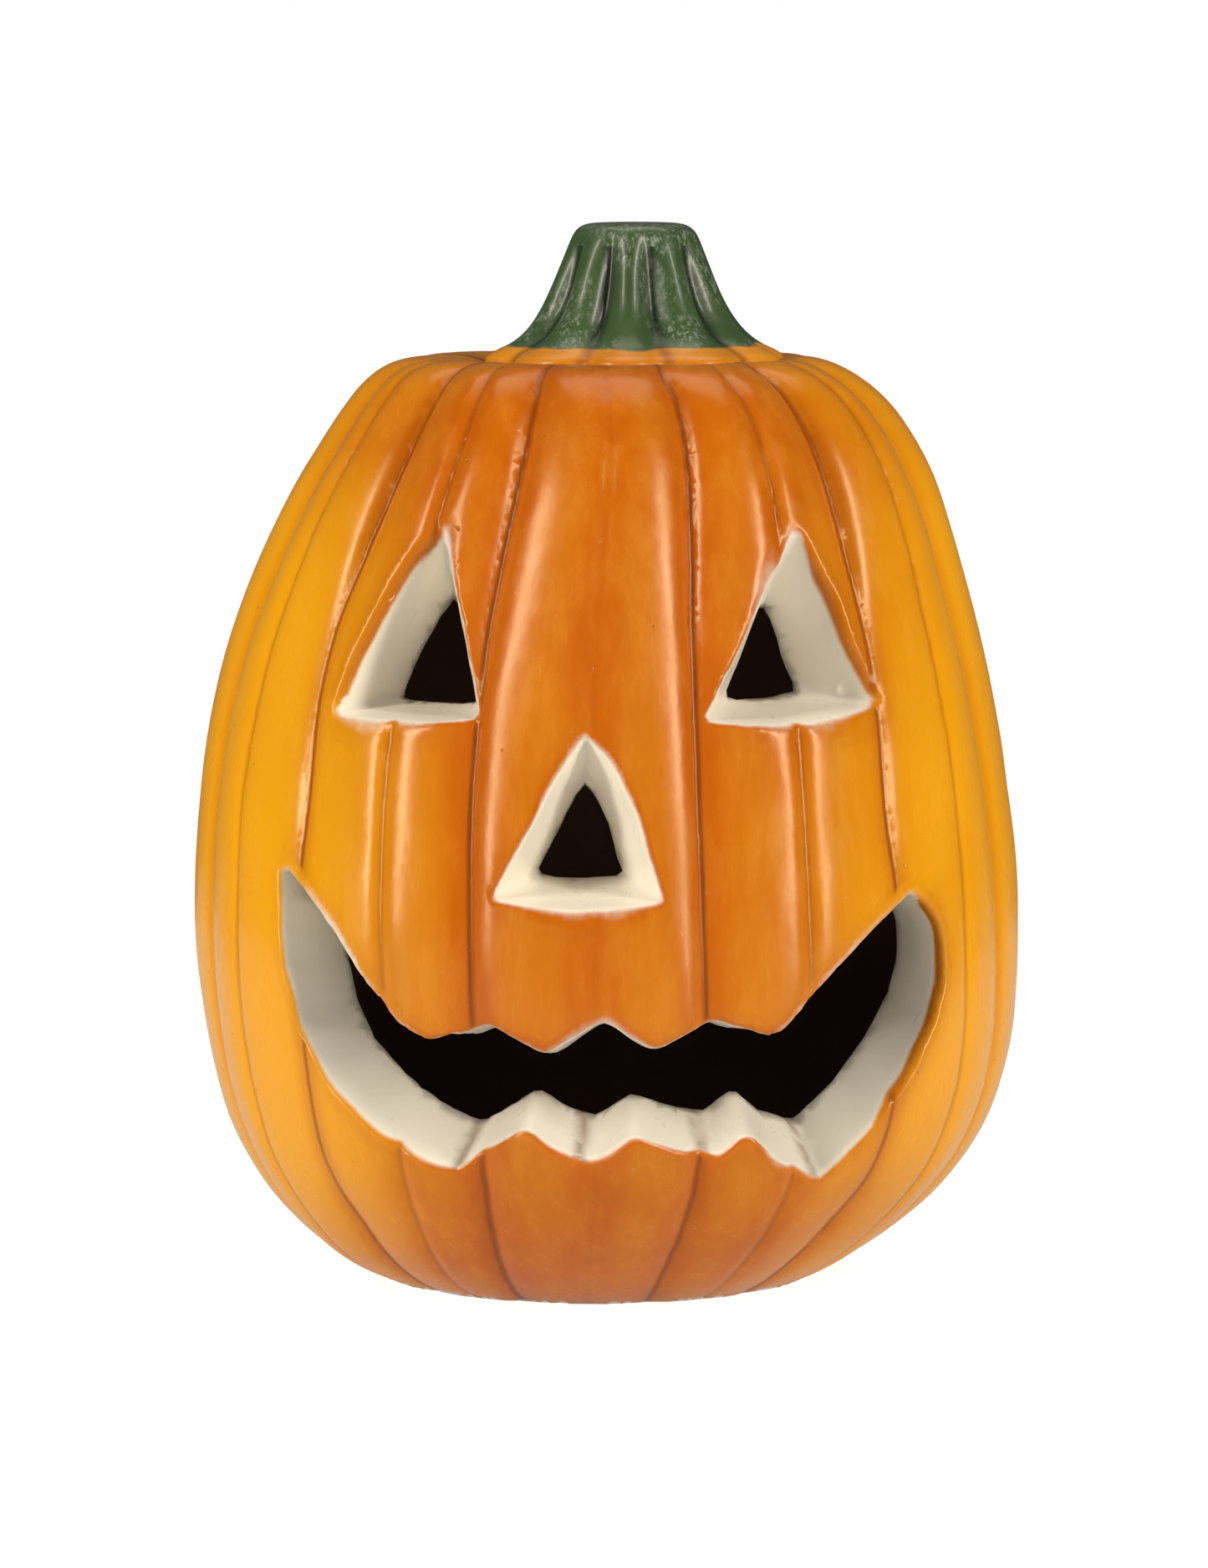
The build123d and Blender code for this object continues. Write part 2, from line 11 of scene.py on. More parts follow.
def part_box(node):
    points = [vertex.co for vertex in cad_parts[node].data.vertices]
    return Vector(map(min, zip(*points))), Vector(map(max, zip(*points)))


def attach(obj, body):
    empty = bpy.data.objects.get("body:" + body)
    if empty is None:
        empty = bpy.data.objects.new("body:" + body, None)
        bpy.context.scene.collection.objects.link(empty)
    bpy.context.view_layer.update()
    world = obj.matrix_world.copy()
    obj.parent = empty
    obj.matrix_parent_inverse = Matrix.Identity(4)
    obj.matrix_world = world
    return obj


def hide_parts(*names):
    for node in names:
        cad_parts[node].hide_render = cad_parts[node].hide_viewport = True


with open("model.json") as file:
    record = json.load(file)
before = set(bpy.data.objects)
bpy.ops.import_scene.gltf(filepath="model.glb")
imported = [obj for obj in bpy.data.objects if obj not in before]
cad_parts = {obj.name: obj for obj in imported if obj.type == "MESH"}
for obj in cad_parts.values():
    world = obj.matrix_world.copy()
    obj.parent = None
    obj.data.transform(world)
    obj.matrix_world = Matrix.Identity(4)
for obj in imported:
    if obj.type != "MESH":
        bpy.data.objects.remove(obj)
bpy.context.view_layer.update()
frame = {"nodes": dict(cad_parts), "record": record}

MM = 0.001
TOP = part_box("stem")[1][2] / MM            # top of the stem
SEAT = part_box("pumpkin_shell")[1][2] / MM  # flat on the body where the stem stands

# ------------------------------------------------------------------ the body's form
# Body rings in mm: height, radius over the rib crests, depth of the deep grooves,
# depth of the shallow ones, sideways lean
BODY_RINGS = [
    (0.0, 51.4, 1.4, 0.6, -2.6),
    (0.9, 54.4, 2.2, 1.0, -2.8),
    (3.0, 59.4, 3.2, 1.5, -2.9),
    (7.0, 66.4, 4.2, 2.0, -2.7),
    (13, 73.9, 4.5, 2.1, -2.1),
    (21, 81.9, 4.5, 2.0, -1.1),
    (33, 90.0, 4.3, 1.8, 0.0),
    (47, 95.0, 4.2, 1.7, 0.7),
    (63, 98.0, 4.2, 1.7, 0.6),
    (80, 98.7, 4.3, 1.7, 0.0),
    (98, 98.4, 4.4, 1.7, -0.4),
    (118, 96.8, 4.6, 1.8, -0.8),
    (138, 93.4, 5.0, 2.2, -0.6),
    (158, 88.2, 5.7, 2.8, -0.2),
    (176, 82.0, 6.4, 3.5, 1.2),
    (190, 76.2, 7.0, 4.0, 2.4),
    (201, 69.8, 7.3, 4.2, 2.8),
    (210.2, 63.0, 7.2, 4.1, 2.4),
    (216.2, 55.0, 6.8, 3.6, 1.0),
    (218.4, 46.8, 6.0, 2.8, 1.4),
    (217.8, 39.2, 4.6, 2.0, 4.0),
    (214.4, 34.0, 3.0, 1.2, 6.4),
]
RIBS = 12
STEM_X = 6.5          # the stem stands a little to the right of the middle
HALF_RIB = math.pi / RIBS
# Columns across half a rib, from the deep groove (0) to the shallow one (1), with
# how much of the groove's depth is left there
COLUMNS = [(0.0, 1.0), (0.03, 0.84), (0.10, 0.56), (0.25, 0.32), (0.5, 0.13), (0.74, 0.03), (0.9, 0.0),
           (0.97, 0.0)]
SHALLOW = {0: 1.0, 7: 0.45, 6: 0.14, 5: 0.02}   # the same for the shallow groove, by column


def rib_shift(base):
    """How far the ribs stray from an even spacing. The groove left of the nose strays most."""
    turn = (base + math.pi) % (2 * math.pi) - math.pi
    return math.radians(0.9) - math.radians(2.4) * math.exp(-((turn + 0.27) / 0.14) ** 2)


def ring_at(z, column):
    """A body ring's value at any height."""
    for low, high in zip(BODY_RINGS, BODY_RINGS[1:]):
        if low[0] <= z <= high[0]:
            share = (z - low[0]) / (high[0] - low[0])
            share = share * share * (3 - 2 * share) if column == 4 else share
            return low[column] + share * (high[column] - low[column])
    return BODY_RINGS[0][column] if z < 0 else BODY_RINGS[-4][column]


# --------------------------------------------------------------------- mesh helpers
def deselect():
    bpy.ops.object.select_all(action="DESELECT")


def active(obj):
    deselect()
    obj.select_set(True)
    bpy.context.view_layer.objects.active = obj
    return obj


def apply_modifier(obj, kind, **settings):
    """Adds a modifier, sets it and applies it."""
    active(obj)
    modifier = obj.modifiers.new(kind.lower(), kind)
    for key, value in settings.items():
        setattr(modifier, key, value)
    bpy.ops.object.modifier_apply(modifier=modifier.name)


def cut(obj, tool, operation="DIFFERENCE", keep=False):
    """Boolean of obj with the tool, which is thrown away unless kept."""
    apply_modifier(obj, "BOOLEAN", object=tool, operation=operation, solver="MANIFOLD")
    if not keep:
        bpy.data.objects.remove(tool)


def lathe_rings(name, rings, sides):
    """A stack of round rings pulled up from one circle. Each ring is (height, radius)."""
    deselect()
    height, radius = rings[0]
    bpy.ops.mesh.primitive_circle_add(vertices=sides, radius=radius * MM, location=(0, 0, height * MM),
                                      fill_type="NGON")
    obj = bpy.context.object
    obj.name = name
    bpy.ops.object.transform_apply(location=True, rotation=True, scale=True)
    bpy.ops.object.mode_set(mode="EDIT")
    bpy.ops.mesh.select_all(action="SELECT")
    bpy.ops.mesh.normals_make_consistent(inside=False)
    for low, high in zip(rings, rings[1:]):
        bpy.ops.mesh.extrude_region_move(TRANSFORM_OT_translate={"value": (0, 0, (high[0] - low[0]) * MM)})
        scale = high[1] / low[1]
        bpy.ops.transform.resize(value=(scale, scale, 1), center_override=(0, 0, high[0] * MM))
    bpy.ops.mesh.select_all(action="SELECT")
    bpy.ops.mesh.normals_make_consistent(inside=False)
    bpy.ops.object.mode_set(mode="OBJECT")
    return obj


def soften(obj, levels):
    """Subdivides a stack of rings. Its two end caps are taken off first and filled again after."""
    active(obj)
    bpy.ops.object.mode_set(mode="EDIT")
    bpy.ops.mesh.select_mode(type="FACE")
    bpy.ops.mesh.select_all(action="DESELECT")
    bpy.ops.mesh.select_face_by_sides(number=4, type="GREATER")
    bpy.ops.mesh.delete(type="ONLY_FACE")
    bpy.ops.object.mode_set(mode="OBJECT")
    apply_modifier(obj, "SUBSURF", levels=levels, render_levels=levels)
    bpy.ops.object.mode_set(mode="EDIT")
    bpy.ops.mesh.select_all(action="SELECT")
    bpy.ops.mesh.fill_holes(sides=0)
    bpy.ops.mesh.select_all(action="SELECT")
    bpy.ops.mesh.normals_make_consistent(inside=False)
    bpy.ops.object.mode_set(mode="OBJECT")


# --------------------------------------------------------------------------- skin
def make_skin():
    """The whole outside of the body, with its ribs, before anything is cut."""
    per_half = len(COLUMNS)
    sides = 2 * RIBS * per_half
    skin = lathe_rings("skin", [(ring[0], ring[1]) for ring in BODY_RINGS], sides)
    bpy.ops.object.mode_set(mode="EDIT")
    mesh = bmesh.from_edit_mesh(skin.data)
    mesh.verts.ensure_lookup_table()
    for vert in mesh.verts:
        ring = min(range(len(BODY_RINGS)), key=lambda i: abs(BODY_RINGS[i][0] * MM - vert.co.z)
                   + abs(BODY_RINGS[i][1] * MM - vert.co.xy.length))
        z, radius, deep, shallow, lean = BODY_RINGS[ring]
        turn = math.atan2(vert.co.x, -vert.co.y) % (2 * math.pi)
        step = round(turn / (2 * math.pi) * sides) % sides
        half, column = divmod(step, per_half)
        # even halves run from a shallow groove at their start to a deep one at their end
        if half % 2:
            share, level = COLUMNS[column]
            faint = SHALLOW.get(column, 0.0) if column else 0.0
            angle = (half + share) * HALF_RIB
            near = half + 1
            groove = half
        else:
            mirrored = per_half - column if column else per_half
            share, level = COLUMNS[mirrored] if mirrored < per_half else (1.0, 0.0)
            faint = SHALLOW.get(mirrored, 1.0 if mirrored == per_half else 0.0)
            angle = (half + 1 - share) * HALF_RIB
            near = half
            groove = half + 1
        angle += rib_shift(angle)
        if groove in (3, 2 * RIBS - 3):
            # softer beside the mouth and the eyes
            level *= 0.12 if 30 < z < 104 else 0.4 if 126 < z < 162 else 1.0
        if near % (2 * RIBS) == 0:
            # the middle rib is hardly split
            faint *= 0.35 + 0.65 * max(0.0, (z - 130) / 90) * 0.4
        cut_in = deep * level + shallow * faint
        r = (radius - cut_in) * MM
        vert.co.x = r * math.sin(angle) + lean * MM
        vert.co.y = -r * math.cos(angle)
    bmesh.update_edit_mesh(skin.data)
    bpy.ops.object.mode_set(mode="OBJECT")
    soften(skin, 2)
    for vert in skin.data.vertices:
        place = vert.co * 28
        push = noise.noise(place) * 0.55 + noise.noise(place * 2.7 + Vector((9, 4, 2))) * 0.22
        fade = min(1.0, vert.co.z / (14 * MM)) * min(1.0, max(0.0, (SEAT * MM - vert.co.z)) / (10 * MM))
        out = Vector((vert.co.x, vert.co.y, 0)).normalized()
        vert.co += out * (push - 0.25) * fade * MM
    return skin


# ----------------------------------------------------------------------- the face
# Outlines on the skin as corners in mm: x, z, corner radius, shoulder radius
LEFT_EYE = [(-34.6, 184.6, 1.0, 2.2), (-42.2, 175.0, 30, 3.4), (-51.4, 160.0, 40, 3.6),
            (-58.0, 145.0, 20, 3.2), (-60.2, 139.2, 1.4, 2.0), (-40.0, 138.4, 60, 2.0),
            (-24.4, 139.2, 1.2, 1.2), (-28.6, 158.0, 60, 1.2)]
RIGHT_EYE = [(46.0, 182.8, 1.0, 2.0), (34.8, 158.5, 60, 1.2), (24.6, 138.8, 1.2, 1.2),
             (44.0, 137.6, 60, 2.0), (67.6, 140.4, 1.6, 2.4), (61.6, 152.0, 40, 3.6),
             (54.8, 167.4, 40, 4.0)]
NOSE = [(-0.9, 137.6, 1.2, 1.4), (-8.0, 127.0, 40, 1.6), (-14.0, 115.6, 40, 1.6),
        (-23.8, 98.8, 1.2, 1.4), (-2.6, 97.2, 60, 2.0), (17.6, 98.8, 1.2, 1.4), (15.7, 105.4, 20, 1.6),
        (10.6, 120.8, 40, 1.6), (5.0, 131.4, 20, 1.6)]
MOUTH = [(-72.4, 104.4, 0.8, 1.6), (-62.0, 93.6, 30, 1.2), (-53.0, 80.6, 30, 1.0),
         (-44.4, 70.6, 9, 1.0), (-37.2, 66.2, 5, 1.0), (-23.4, 71.6, 3, 1.0), (-10.0, 64.7, 3.6, 1.0),
         (2.8, 72.7, 3, 1.0), (15.0, 65.7, 4, 1.2), (28.4, 72.7, 3, 1.0), (40.2, 67.9, 5, 1.0),
         (44.0, 69.0, 6, 1.0), (52.4, 78.9, 20, 1.0), (64.4, 91.0, 30, 1.0), (73.4, 98.6, 0.8, 1.6),
         (78.6, 91.0, 16, 3.6), (79.8, 79.0, 30, 4.2), (76.8, 66.4, 30, 4.0), (71.2, 54.6, 30, 3.4),
         (62.6, 42.6, 30, 2.2), (51.8, 32.8, 1.2, 1.6), (43.4, 37.6, 4, 1.2), (36.2, 45.4, 3.4, 1.2),
         (29.3, 39.2, 2.0, 1.4), (21.0, 40.7, 20, 1.4), (10.2, 45.8, 3.6, 1.2), (0.9, 39.7, 2.2, 1.4),
         (-7.2, 41.8, 20, 1.4), (-15.2, 46.8, 3.6, 1.2), (-30.8, 35.8, 1.2, 1.6),
         (-36.2, 36.9, 12, 2.0), (-45.0, 40.8, 30, 2.2), (-53.4, 47.2, 30, 2.2), (-62.0, 56.4, 30, 2.0),
         (-68.2, 67.4, 30, 2.0), (-71.0, 81.0, 30, 2.0), (-72.2, 95.2, 20, 1.8)]
WALL_DEPTH = 22.0     # mm from the skin to the back of the cream walls
STEP = 1.6            # mm between the points of an outline


def rounded(corners, step=STEP):
    """The outline as evenly spaced points with its corners rounded: x, z, shoulder."""
    points = []
    for i, (x, z, radius, shoulder) in enumerate(corners):
        here = Vector((x, z))
        before = Vector(corners[i - 1][:2]) - here
        after = Vector(corners[(i + 1) % len(corners)][:2]) - here
        turn = math.pi - before.angle(after)
        reach = min(radius * math.tan(turn / 2), 0.46 * before.length, 0.46 * after.length)
        start, end = here + before.normalized() * reach, here + after.normalized() * reach
        arc_steps = max(2, int(2 * reach / step) + 1, int(turn / 0.35))
        for k in range(arc_steps + 1):
            t = k / arc_steps
            place = start * (1 - t) ** 2 + here * 2 * t * (1 - t) + end * t ** 2
            points.append((place, shoulder))
    fine = []
    for i, (place, shoulder) in enumerate(points):
        following, next_shoulder = points[(i + 1) % len(points)]
        gap = (following - place).length
        pieces = max(1, round(gap / step))
        for k in range(pieces):
            t = k / pieces
            spot = place.lerp(following, t)
            wobble = noise.noise(Vector((spot.x * 0.11, spot.y * 0.11, 3.1))) * 0.5
            spread = shoulder + t * (next_shoulder - shoulder)
            fine.append((spot.x + wobble, spot.y + wobble * 0.6, spread))
    kept = [fine[0]]
    for spot in fine[1:]:
        if (Vector(spot[:2]) - Vector(kept[-1][:2])).length > 0.3:
            kept.append(spot)
    return kept


# Where each opening's outline ends up at the back of its wall
def left_eye_in(x, z):
    return -27.2 + (x + 24.4) * 0.49, 141.6 + (z - 139.0) * 0.52


def right_eye_in(x, z):
    return 29.6 + (x - 24.6) * 0.36, 143.4 + (z - 139.6) * 0.47


def nose_in(x, z):
    return -12.6 + (x + 23.8) * 0.457, 103.6 + (z - 98.6) * 0.52


def lip_height(x):
    """The curve between the upper and the lower lip."""
    return 62 + 0.0066 * x * x


def mouth_in(x, z):
    if z > lip_height(x):
        return x * 0.86, z - 3.0
    return x * (0.82 if x < 0 else 0.87), z + (88 - z) * (0.17 + 0.0007 * abs(x))


def skin_point(x, z, deeper=0.0):
    """The point of the front skin at x and z, moved that much deeper towards the axis."""
    lean = ring_at(z, 4)
    radius = ring_at(z, 1) - deeper
    across = min(abs(x - lean), radius * 0.98)
    return Vector((x, -math.sqrt(radius ** 2 - across ** 2), z))


def outward(points, i):
    """Outline normal at point i, pointing out of the opening."""
    before, after = points[i - 1], points[(i + 1) % len(points)]
    along = Vector((after[0] - before[0], after[1] - before[1])).normalized()
    return Vector((along.y, -along.x))


def area_sign(points):
    """1 for an outline that runs anticlockwise, or else -1."""
    total = 0.0
    for i, (x, z, shoulder) in enumerate(points):
        nx, nz = points[(i + 1) % len(points)][:2]
        total += x * nz - nx * z
    return 1 if total > 0 else -1


def tunnel_rings(points, inner, spread=0.0, far=1.18):
    """Rings of a cutting tool that goes through the wall along one opening."""
    sign = area_sign(points)
    rings = []
    lines = []
    for i, (x, z, shoulder) in enumerate(points):
        normal = outward(points, i) * sign
        surface = skin_point(x + normal.x * spread, z + normal.y * spread, 0.6)
        xi, zi = inner(x, z)
        deep = skin_point(xi + normal.x * spread, zi + normal.y * spread, WALL_DEPTH)
        lines.append((surface, deep, Vector((normal.x, 0, normal.y)), 0.0 if spread else shoulder))
    outside = []
    for surface, deep, normal, shoulder in lines:
        inward = deep - surface
        place = surface - inward * 0.9
        outside.append(Vector((place.x, -134, place.z)) + normal * shoulder * 2.0)
    rings.append(outside)
    near = []
    for surface, deep, normal, shoulder in lines:
        near.append(surface - (deep - surface) * 0.34 + normal * shoulder * 2.2)
    rings.append(near)
    for share in (-0.35, 0.0, 0.08, 0.22, 0.42, 0.7, 1.0):
        ring = []
        for surface, deep, normal, shoulder in lines:
            inward = (deep - surface) / WALL_DEPTH
            if share < 0:
                flare = shoulder * (1 - share * 2.2)
            else:
                flare = shoulder - math.sqrt(max(0.0, shoulder ** 2 - (shoulder * (1 - share)) ** 2))
            ring.append(surface + inward * shoulder * share + normal * flare)
        if not spread or share == 0.0:
            rings.append(ring)
    for depth in (0.5, 1.0, far):
        rings.append([surface.lerp(deep, depth) for surface, deep, normal, shoulder in lines])
    return rings, lines


def tool_from(name, rings):
    """A closed cutting tool from rings of equal length."""
    mesh = bpy.data.meshes.new(name)
    build = bmesh.new()
    rows = [[build.verts.new(p * MM) for p in ring] for ring in rings]
    size = len(rows[0])
    for low, high in zip(rows, rows[1:]):
        for i in range(size):
            build.faces.new((low[i], low[(i + 1) % size], high[(i + 1) % size], high[i]))
    caps = [build.faces.new(rows[0]), build.faces.new(list(reversed(rows[-1])))]
    bmesh.ops.triangulate(build, faces=caps, ngon_method="EAR_CLIP")
    bmesh.ops.recalc_face_normals(build, faces=build.faces)
    build.to_mesh(mesh)
    build.free()
    obj = bpy.data.objects.new(name, mesh)
    bpy.context.collection.objects.link(obj)
    return obj


OPENINGS = [("left_eye", LEFT_EYE, left_eye_in), ("right_eye", RIGHT_EYE, right_eye_in),
            ("nose", NOSE, nose_in), ("mouth", MOUTH, mouth_in)]
MOUTH_COLLAR = [(-79, 109, 2, 0), (-66, 103, 9, 0), (-55, 90, 9, 0), (-41, 79, 9, 0), (-10, 79, 9, 0),
                (28, 79, 9, 0), (46, 78, 9, 0), (58, 90, 9, 0), (70, 103, 9, 0), (82, 105, 2, 0),
                (87, 90, 9, 0), (86, 66, 9, 0), (75, 40, 9, 0), (57, 24, 9, 0), (28, 31, 9, 0),
                (-10, 31, 9, 0), (-34, 28, 9, 0), (-54, 32, 9, 0), (-69, 50, 9, 0), (-79, 78, 9, 0)]


def make_tools():
    """The cutting tools of the four openings, wider ones for the walls' collars, and the edges' lines."""
    tunnels, collars, edge_lines = [], [], []
    for name, corners, inner in OPENINGS:
        mouth = name == "mouth"
        rings, lines = tunnel_rings(rounded(corners), inner)
        tunnels.append(tool_from(name + "_tool", rings))
        mouth_start = len(edge_lines)
        edge_lines += lines
        collar = rounded(MOUTH_COLLAR, 6) if mouth else rounded(corners, 5)
        rings, lines = tunnel_rings(collar, inner, spread=0.5 if mouth else 5.5, far=1.1)
        collars.append(tool_from(name + "_collar", rings))
    return tunnels, collars, edge_lines, mouth_start


# ---------------------------------------------------------------- hollow and base
WALL = 9.0                    # mm of shell away from the openings
FLOOR_TOP = 12.0              # mm, the floor inside the base
CEILING = (200.0, 208.6)      # mm, between these heights the inside closes over
CEILING_RADIUS = 50.5
RECESS_RADIUS = 45.2          # for the light unit's flange
RECESS_TOP = 4.0
LIGHT_HOLE_RADIUS = 38.3
VENT_RADIUS = 8.0
BELOW = -5.0                  # where the tools that cut the base start
GLAZE_MESH = 0.9              # mm, the even mesh that rounds the edges
SHELL_FACES = 94000


def make_hollow(collars):
    """The space inside, kept clear of the thick walls round the openings."""
    rings = [(FLOOR_TOP, 56.0), (14.0, 62.0), (20.0, 71.0), (32.0, 80.0)]
    for z, radius, deep, shallow, lean in BODY_RINGS:
        if 40 < z < 205:   # a smaller hollow where the grooves are deepest and the body leans
            rings.append((z, radius - WALL - max(0.0, deep - 4.5) - abs(lean)))
    rings += [(205.0, 50.0), (208.0, 40.0)]
    hollow = lathe_rings("hollow", rings, 96)
    for collar in collars:
        cut(hollow, collar)
    rings = [(FLOOR_TOP + 0.3, 52.0), (16.0, 58.0), (24.0, 64.0)]
    rings += [(ring[0], ring[1] - WALL_DEPTH) for ring in BODY_RINGS if 40 < ring[0] < 196]
    rings += [(200.0, 44.0), (204.0, 36.0)]
    cut(hollow, lathe_rings("core", rings, 96), "UNION")
    return hollow


def thin_out(shell):
    """Fewer faces, above all inside the body and round its back, where the mesh can be coarse."""
    weights = {}
    for vert in shell.data.vertices:
        x, y, z = vert.co / MM
        radius = math.hypot(x - ring_at(z, 4), y)
        depth = ring_at(z, 1) - radius
        front = y < -0.3 * abs(x) and 24 < z < 190
        under_ceiling = CEILING[0] <= z < CEILING[1] and radius < CEILING_RADIUS
        hidden = 13 < z < CEILING[0] and depth > 6.8 or under_ceiling
        if hidden and not front:
            weight = 1.0
        elif hidden and depth > 7.5:
            weight = 0.5
        elif front:
            weight = 0.1
        else:
            weight = 0.25
        weights.setdefault(weight, []).append(vert.index)
    group = shell.vertex_groups.new(name="coarse")
    for weight, verts in weights.items():
        group.add(verts, weight, "REPLACE")
    apply_modifier(shell, "DECIMATE", ratio=SHELL_FACES / len(shell.data.polygons), vertex_group="coarse")
    shell.vertex_groups.clear()


def make_shell(skin, hollow, tunnels):
    """The body: the skin with its hollow, openings, base and vent cut, and every cut edge rounded."""
    shell = bpy.data.objects.new("pumpkin_body", skin.data.copy())
    bpy.context.collection.objects.link(shell)
    cut(shell, hollow)
    for tunnel in tunnels:
        cut(shell, tunnel, keep=True)
    cut(shell, lathe_rings("recess", [(BELOW, RECESS_RADIUS), (RECESS_TOP, RECESS_RADIUS)], 128))
    cut(shell, lathe_rings("light_hole", [(BELOW, LIGHT_HOLE_RADIUS), (20.0, LIGHT_HOLE_RADIUS)], 128))
    vent = lathe_rings("vent", [(195.0, VENT_RADIUS), (230.0, VENT_RADIUS)], 48)
    vent.data.transform(Matrix.Translation((STEM_X * MM, 0, 0)))
    cut(shell, vent)
    apply_modifier(shell, "REMESH", mode="VOXEL", voxel_size=GLAZE_MESH * MM, use_smooth_shade=True)
    apply_modifier(shell, "SMOOTH", factor=0.5, iterations=2)
    thin_out(shell)
    for vert in shell.data.vertices:   # the foot is ground flat
        vert.co.z = 0.0 if vert.co.z < 0.5 * MM else vert.co.z
    for polygon in shell.data.polygons:
        polygon.use_smooth = True
    return shell


# -------------------------------------------------------------- paint maps on the shell
FAR = 12.0            # mm, past which a cut counts as no nearer
CREASE_FEET = ((-31.2, 36.2), (-2.6, 40.4), (26.0, 40.0), (50.6, 33.6))   # on the lower lip's edge


def smooth_step(low, high, value):
    t = min(1.0, max(0.0, (value - low) / (high - low)))
    return t * t * (3 - 2 * t)


def tree_of(obj):
    faces = [tuple(p.vertices) for p in obj.data.polygons]
    return BVHTree.FromPolygons([v.co for v in obj.data.vertices], faces)


def gap_to(tree, place):
    """Distance in mm from a place to a surface, up to FAR."""
    gap = tree.find_nearest(place, FAR * MM)[3]
    return FAR if gap is None else gap / MM


def map_paint(shell, skin, tunnels, edge_lines, mouth_start):
    """Writes the distances that the glaze is laid out by to the shell, as attributes of its points."""
    skin_tree = tree_of(skin)
    tunnel_trees = [tree_of(tunnel) for tunnel in tunnels]
    edge_points = KDTree(len(edge_lines))
    upper_lip = set()
    for i, (surface, deep, normal, shoulder) in enumerate(edge_lines):
        edge_points.insert(surface * MM, i)
        if i >= mouth_start and normal.z < -0.25 and surface.z > lip_height(surface.x):
            upper_lip.add(i)
    edge_points.balance()
    # painted shade: dark lines where the rib grooves cross the lower lip
    creases = []
    for x, z in CREASE_FEET:
        creases.append((skin_point(x, z, 0.6), skin_point(*mouth_in(x, z), WALL_DEPTH)))

    maps = {name: [] for name in ("edge", "across", "kind", "painted_edge_shade", "cream", "crease")}
    for vert in shell.data.vertices:
        spot = vert.co / MM
        x, y, z = spot
        depth = skin_tree.find_nearest(vert.co)[3] / MM
        edge = min(gap_to(tree, vert.co) for tree in tunnel_trees)
        place, nearest, away = edge_points.find(vert.co)
        lean = ring_at(z, 4)
        radius = math.hypot(x - lean, y)
        turn = math.atan2(x - lean, -y)
        half = (turn - rib_shift(turn - rib_shift(turn))) / HALF_RIB
        wide = smooth_step(1.7, 4.0, edge_lines[nearest][3])
        paint_end = -1.1 if nearest in upper_lip else 0.35 + 3.0 * wide
        ceiling = CEILING[0] <= z < CEILING[1] and radius < CEILING_RADIUS
        inside = 12.5 < z < CEILING[0] and ring_at(z, 1) - radius > 7.6 or depth > 6 or ceiling
        underneath = z < 0.6 or (z < 12.5 and math.hypot(x, y) < 46.5)
        slope = 0.0
        # painted shade: brown on the sloped edges of the openings and in a band round them
        if edge < 2.5:
            slope = math.exp(-((depth - 0.6 * paint_end) / (0.8 + 1.6 * wide)) ** 2)
        around = 0.5 * math.exp(-(away / MM / 6.0) ** 2)
        crease = min((intersect_point_line(spot, low, high)[0] - spot).length for low, high in creases)
        if underneath:
            cream = 6.0
        elif inside and edge > 1.2:
            cream = max(6.0, depth)
        else:
            cream = depth - edge - paint_end
        maps["edge"].append(0.0 if underneath else edge)
        maps["across"].append(math.sin(math.pi * half) * HALF_RIB * radius / math.pi)
        maps["kind"].append(math.cos(math.pi * half))
        maps["painted_edge_shade"].append(wide * max(slope, around) + (1 - wide) * 0.12 * slope)
        maps["cream"].append(cream)
        maps["crease"].append(math.exp(-(crease / 1.4) ** 2) if edge < 2 and depth > 0.5 else 0.0)
    for name, values in maps.items():
        shell.data.attributes.new(name, "FLOAT", "POINT").data.foreach_set("value", values)


skin = make_skin()
skin.data.update()
tunnels, collars, edge_lines, mouth_start = make_tools()
hollow = make_hollow(collars)
shell = make_shell(skin, hollow, tunnels)
map_paint(shell, skin, tunnels, edge_lines, mouth_start)
for tool in tunnels + [skin]:
    bpy.data.objects.remove(tool)

# --------------------------------------------------------------------------- stem
LOBES = 10
LOBE_TURN = math.radians(-20)
# Stem rings: height over the seat, radius, depth of the grooves
STEM_RINGS = [(-2.0, 33.0, 2.0), (-1.6, 35.4, 3.0), (0.2, 36.6, 3.6), (1.9, 35.8, 3.8),
              (3.2, 32.6, 3.8), (5.0, 29.0, 4.0), (8.2, 25.6, 4.4), (12.6, 22.8, 4.4),
              (17.6, 20.4, 3.9), (22.6, 18.3, 3.0), (26.6, 16.6, 1.8), (29.8, 15.2, 0.7),
              (31.6, 13.6, 0.2), (32.6, 11.0, 0.0), (32.7, 6.0, 0.0), (32.4, 1.5, 0.0)]
# How much of a groove's depth is left at each column across a lobe
LOBE_COLUMNS = [1.0, 0.66, 0.30, 0.08, 0.0, 0.08, 0.30, 0.66]


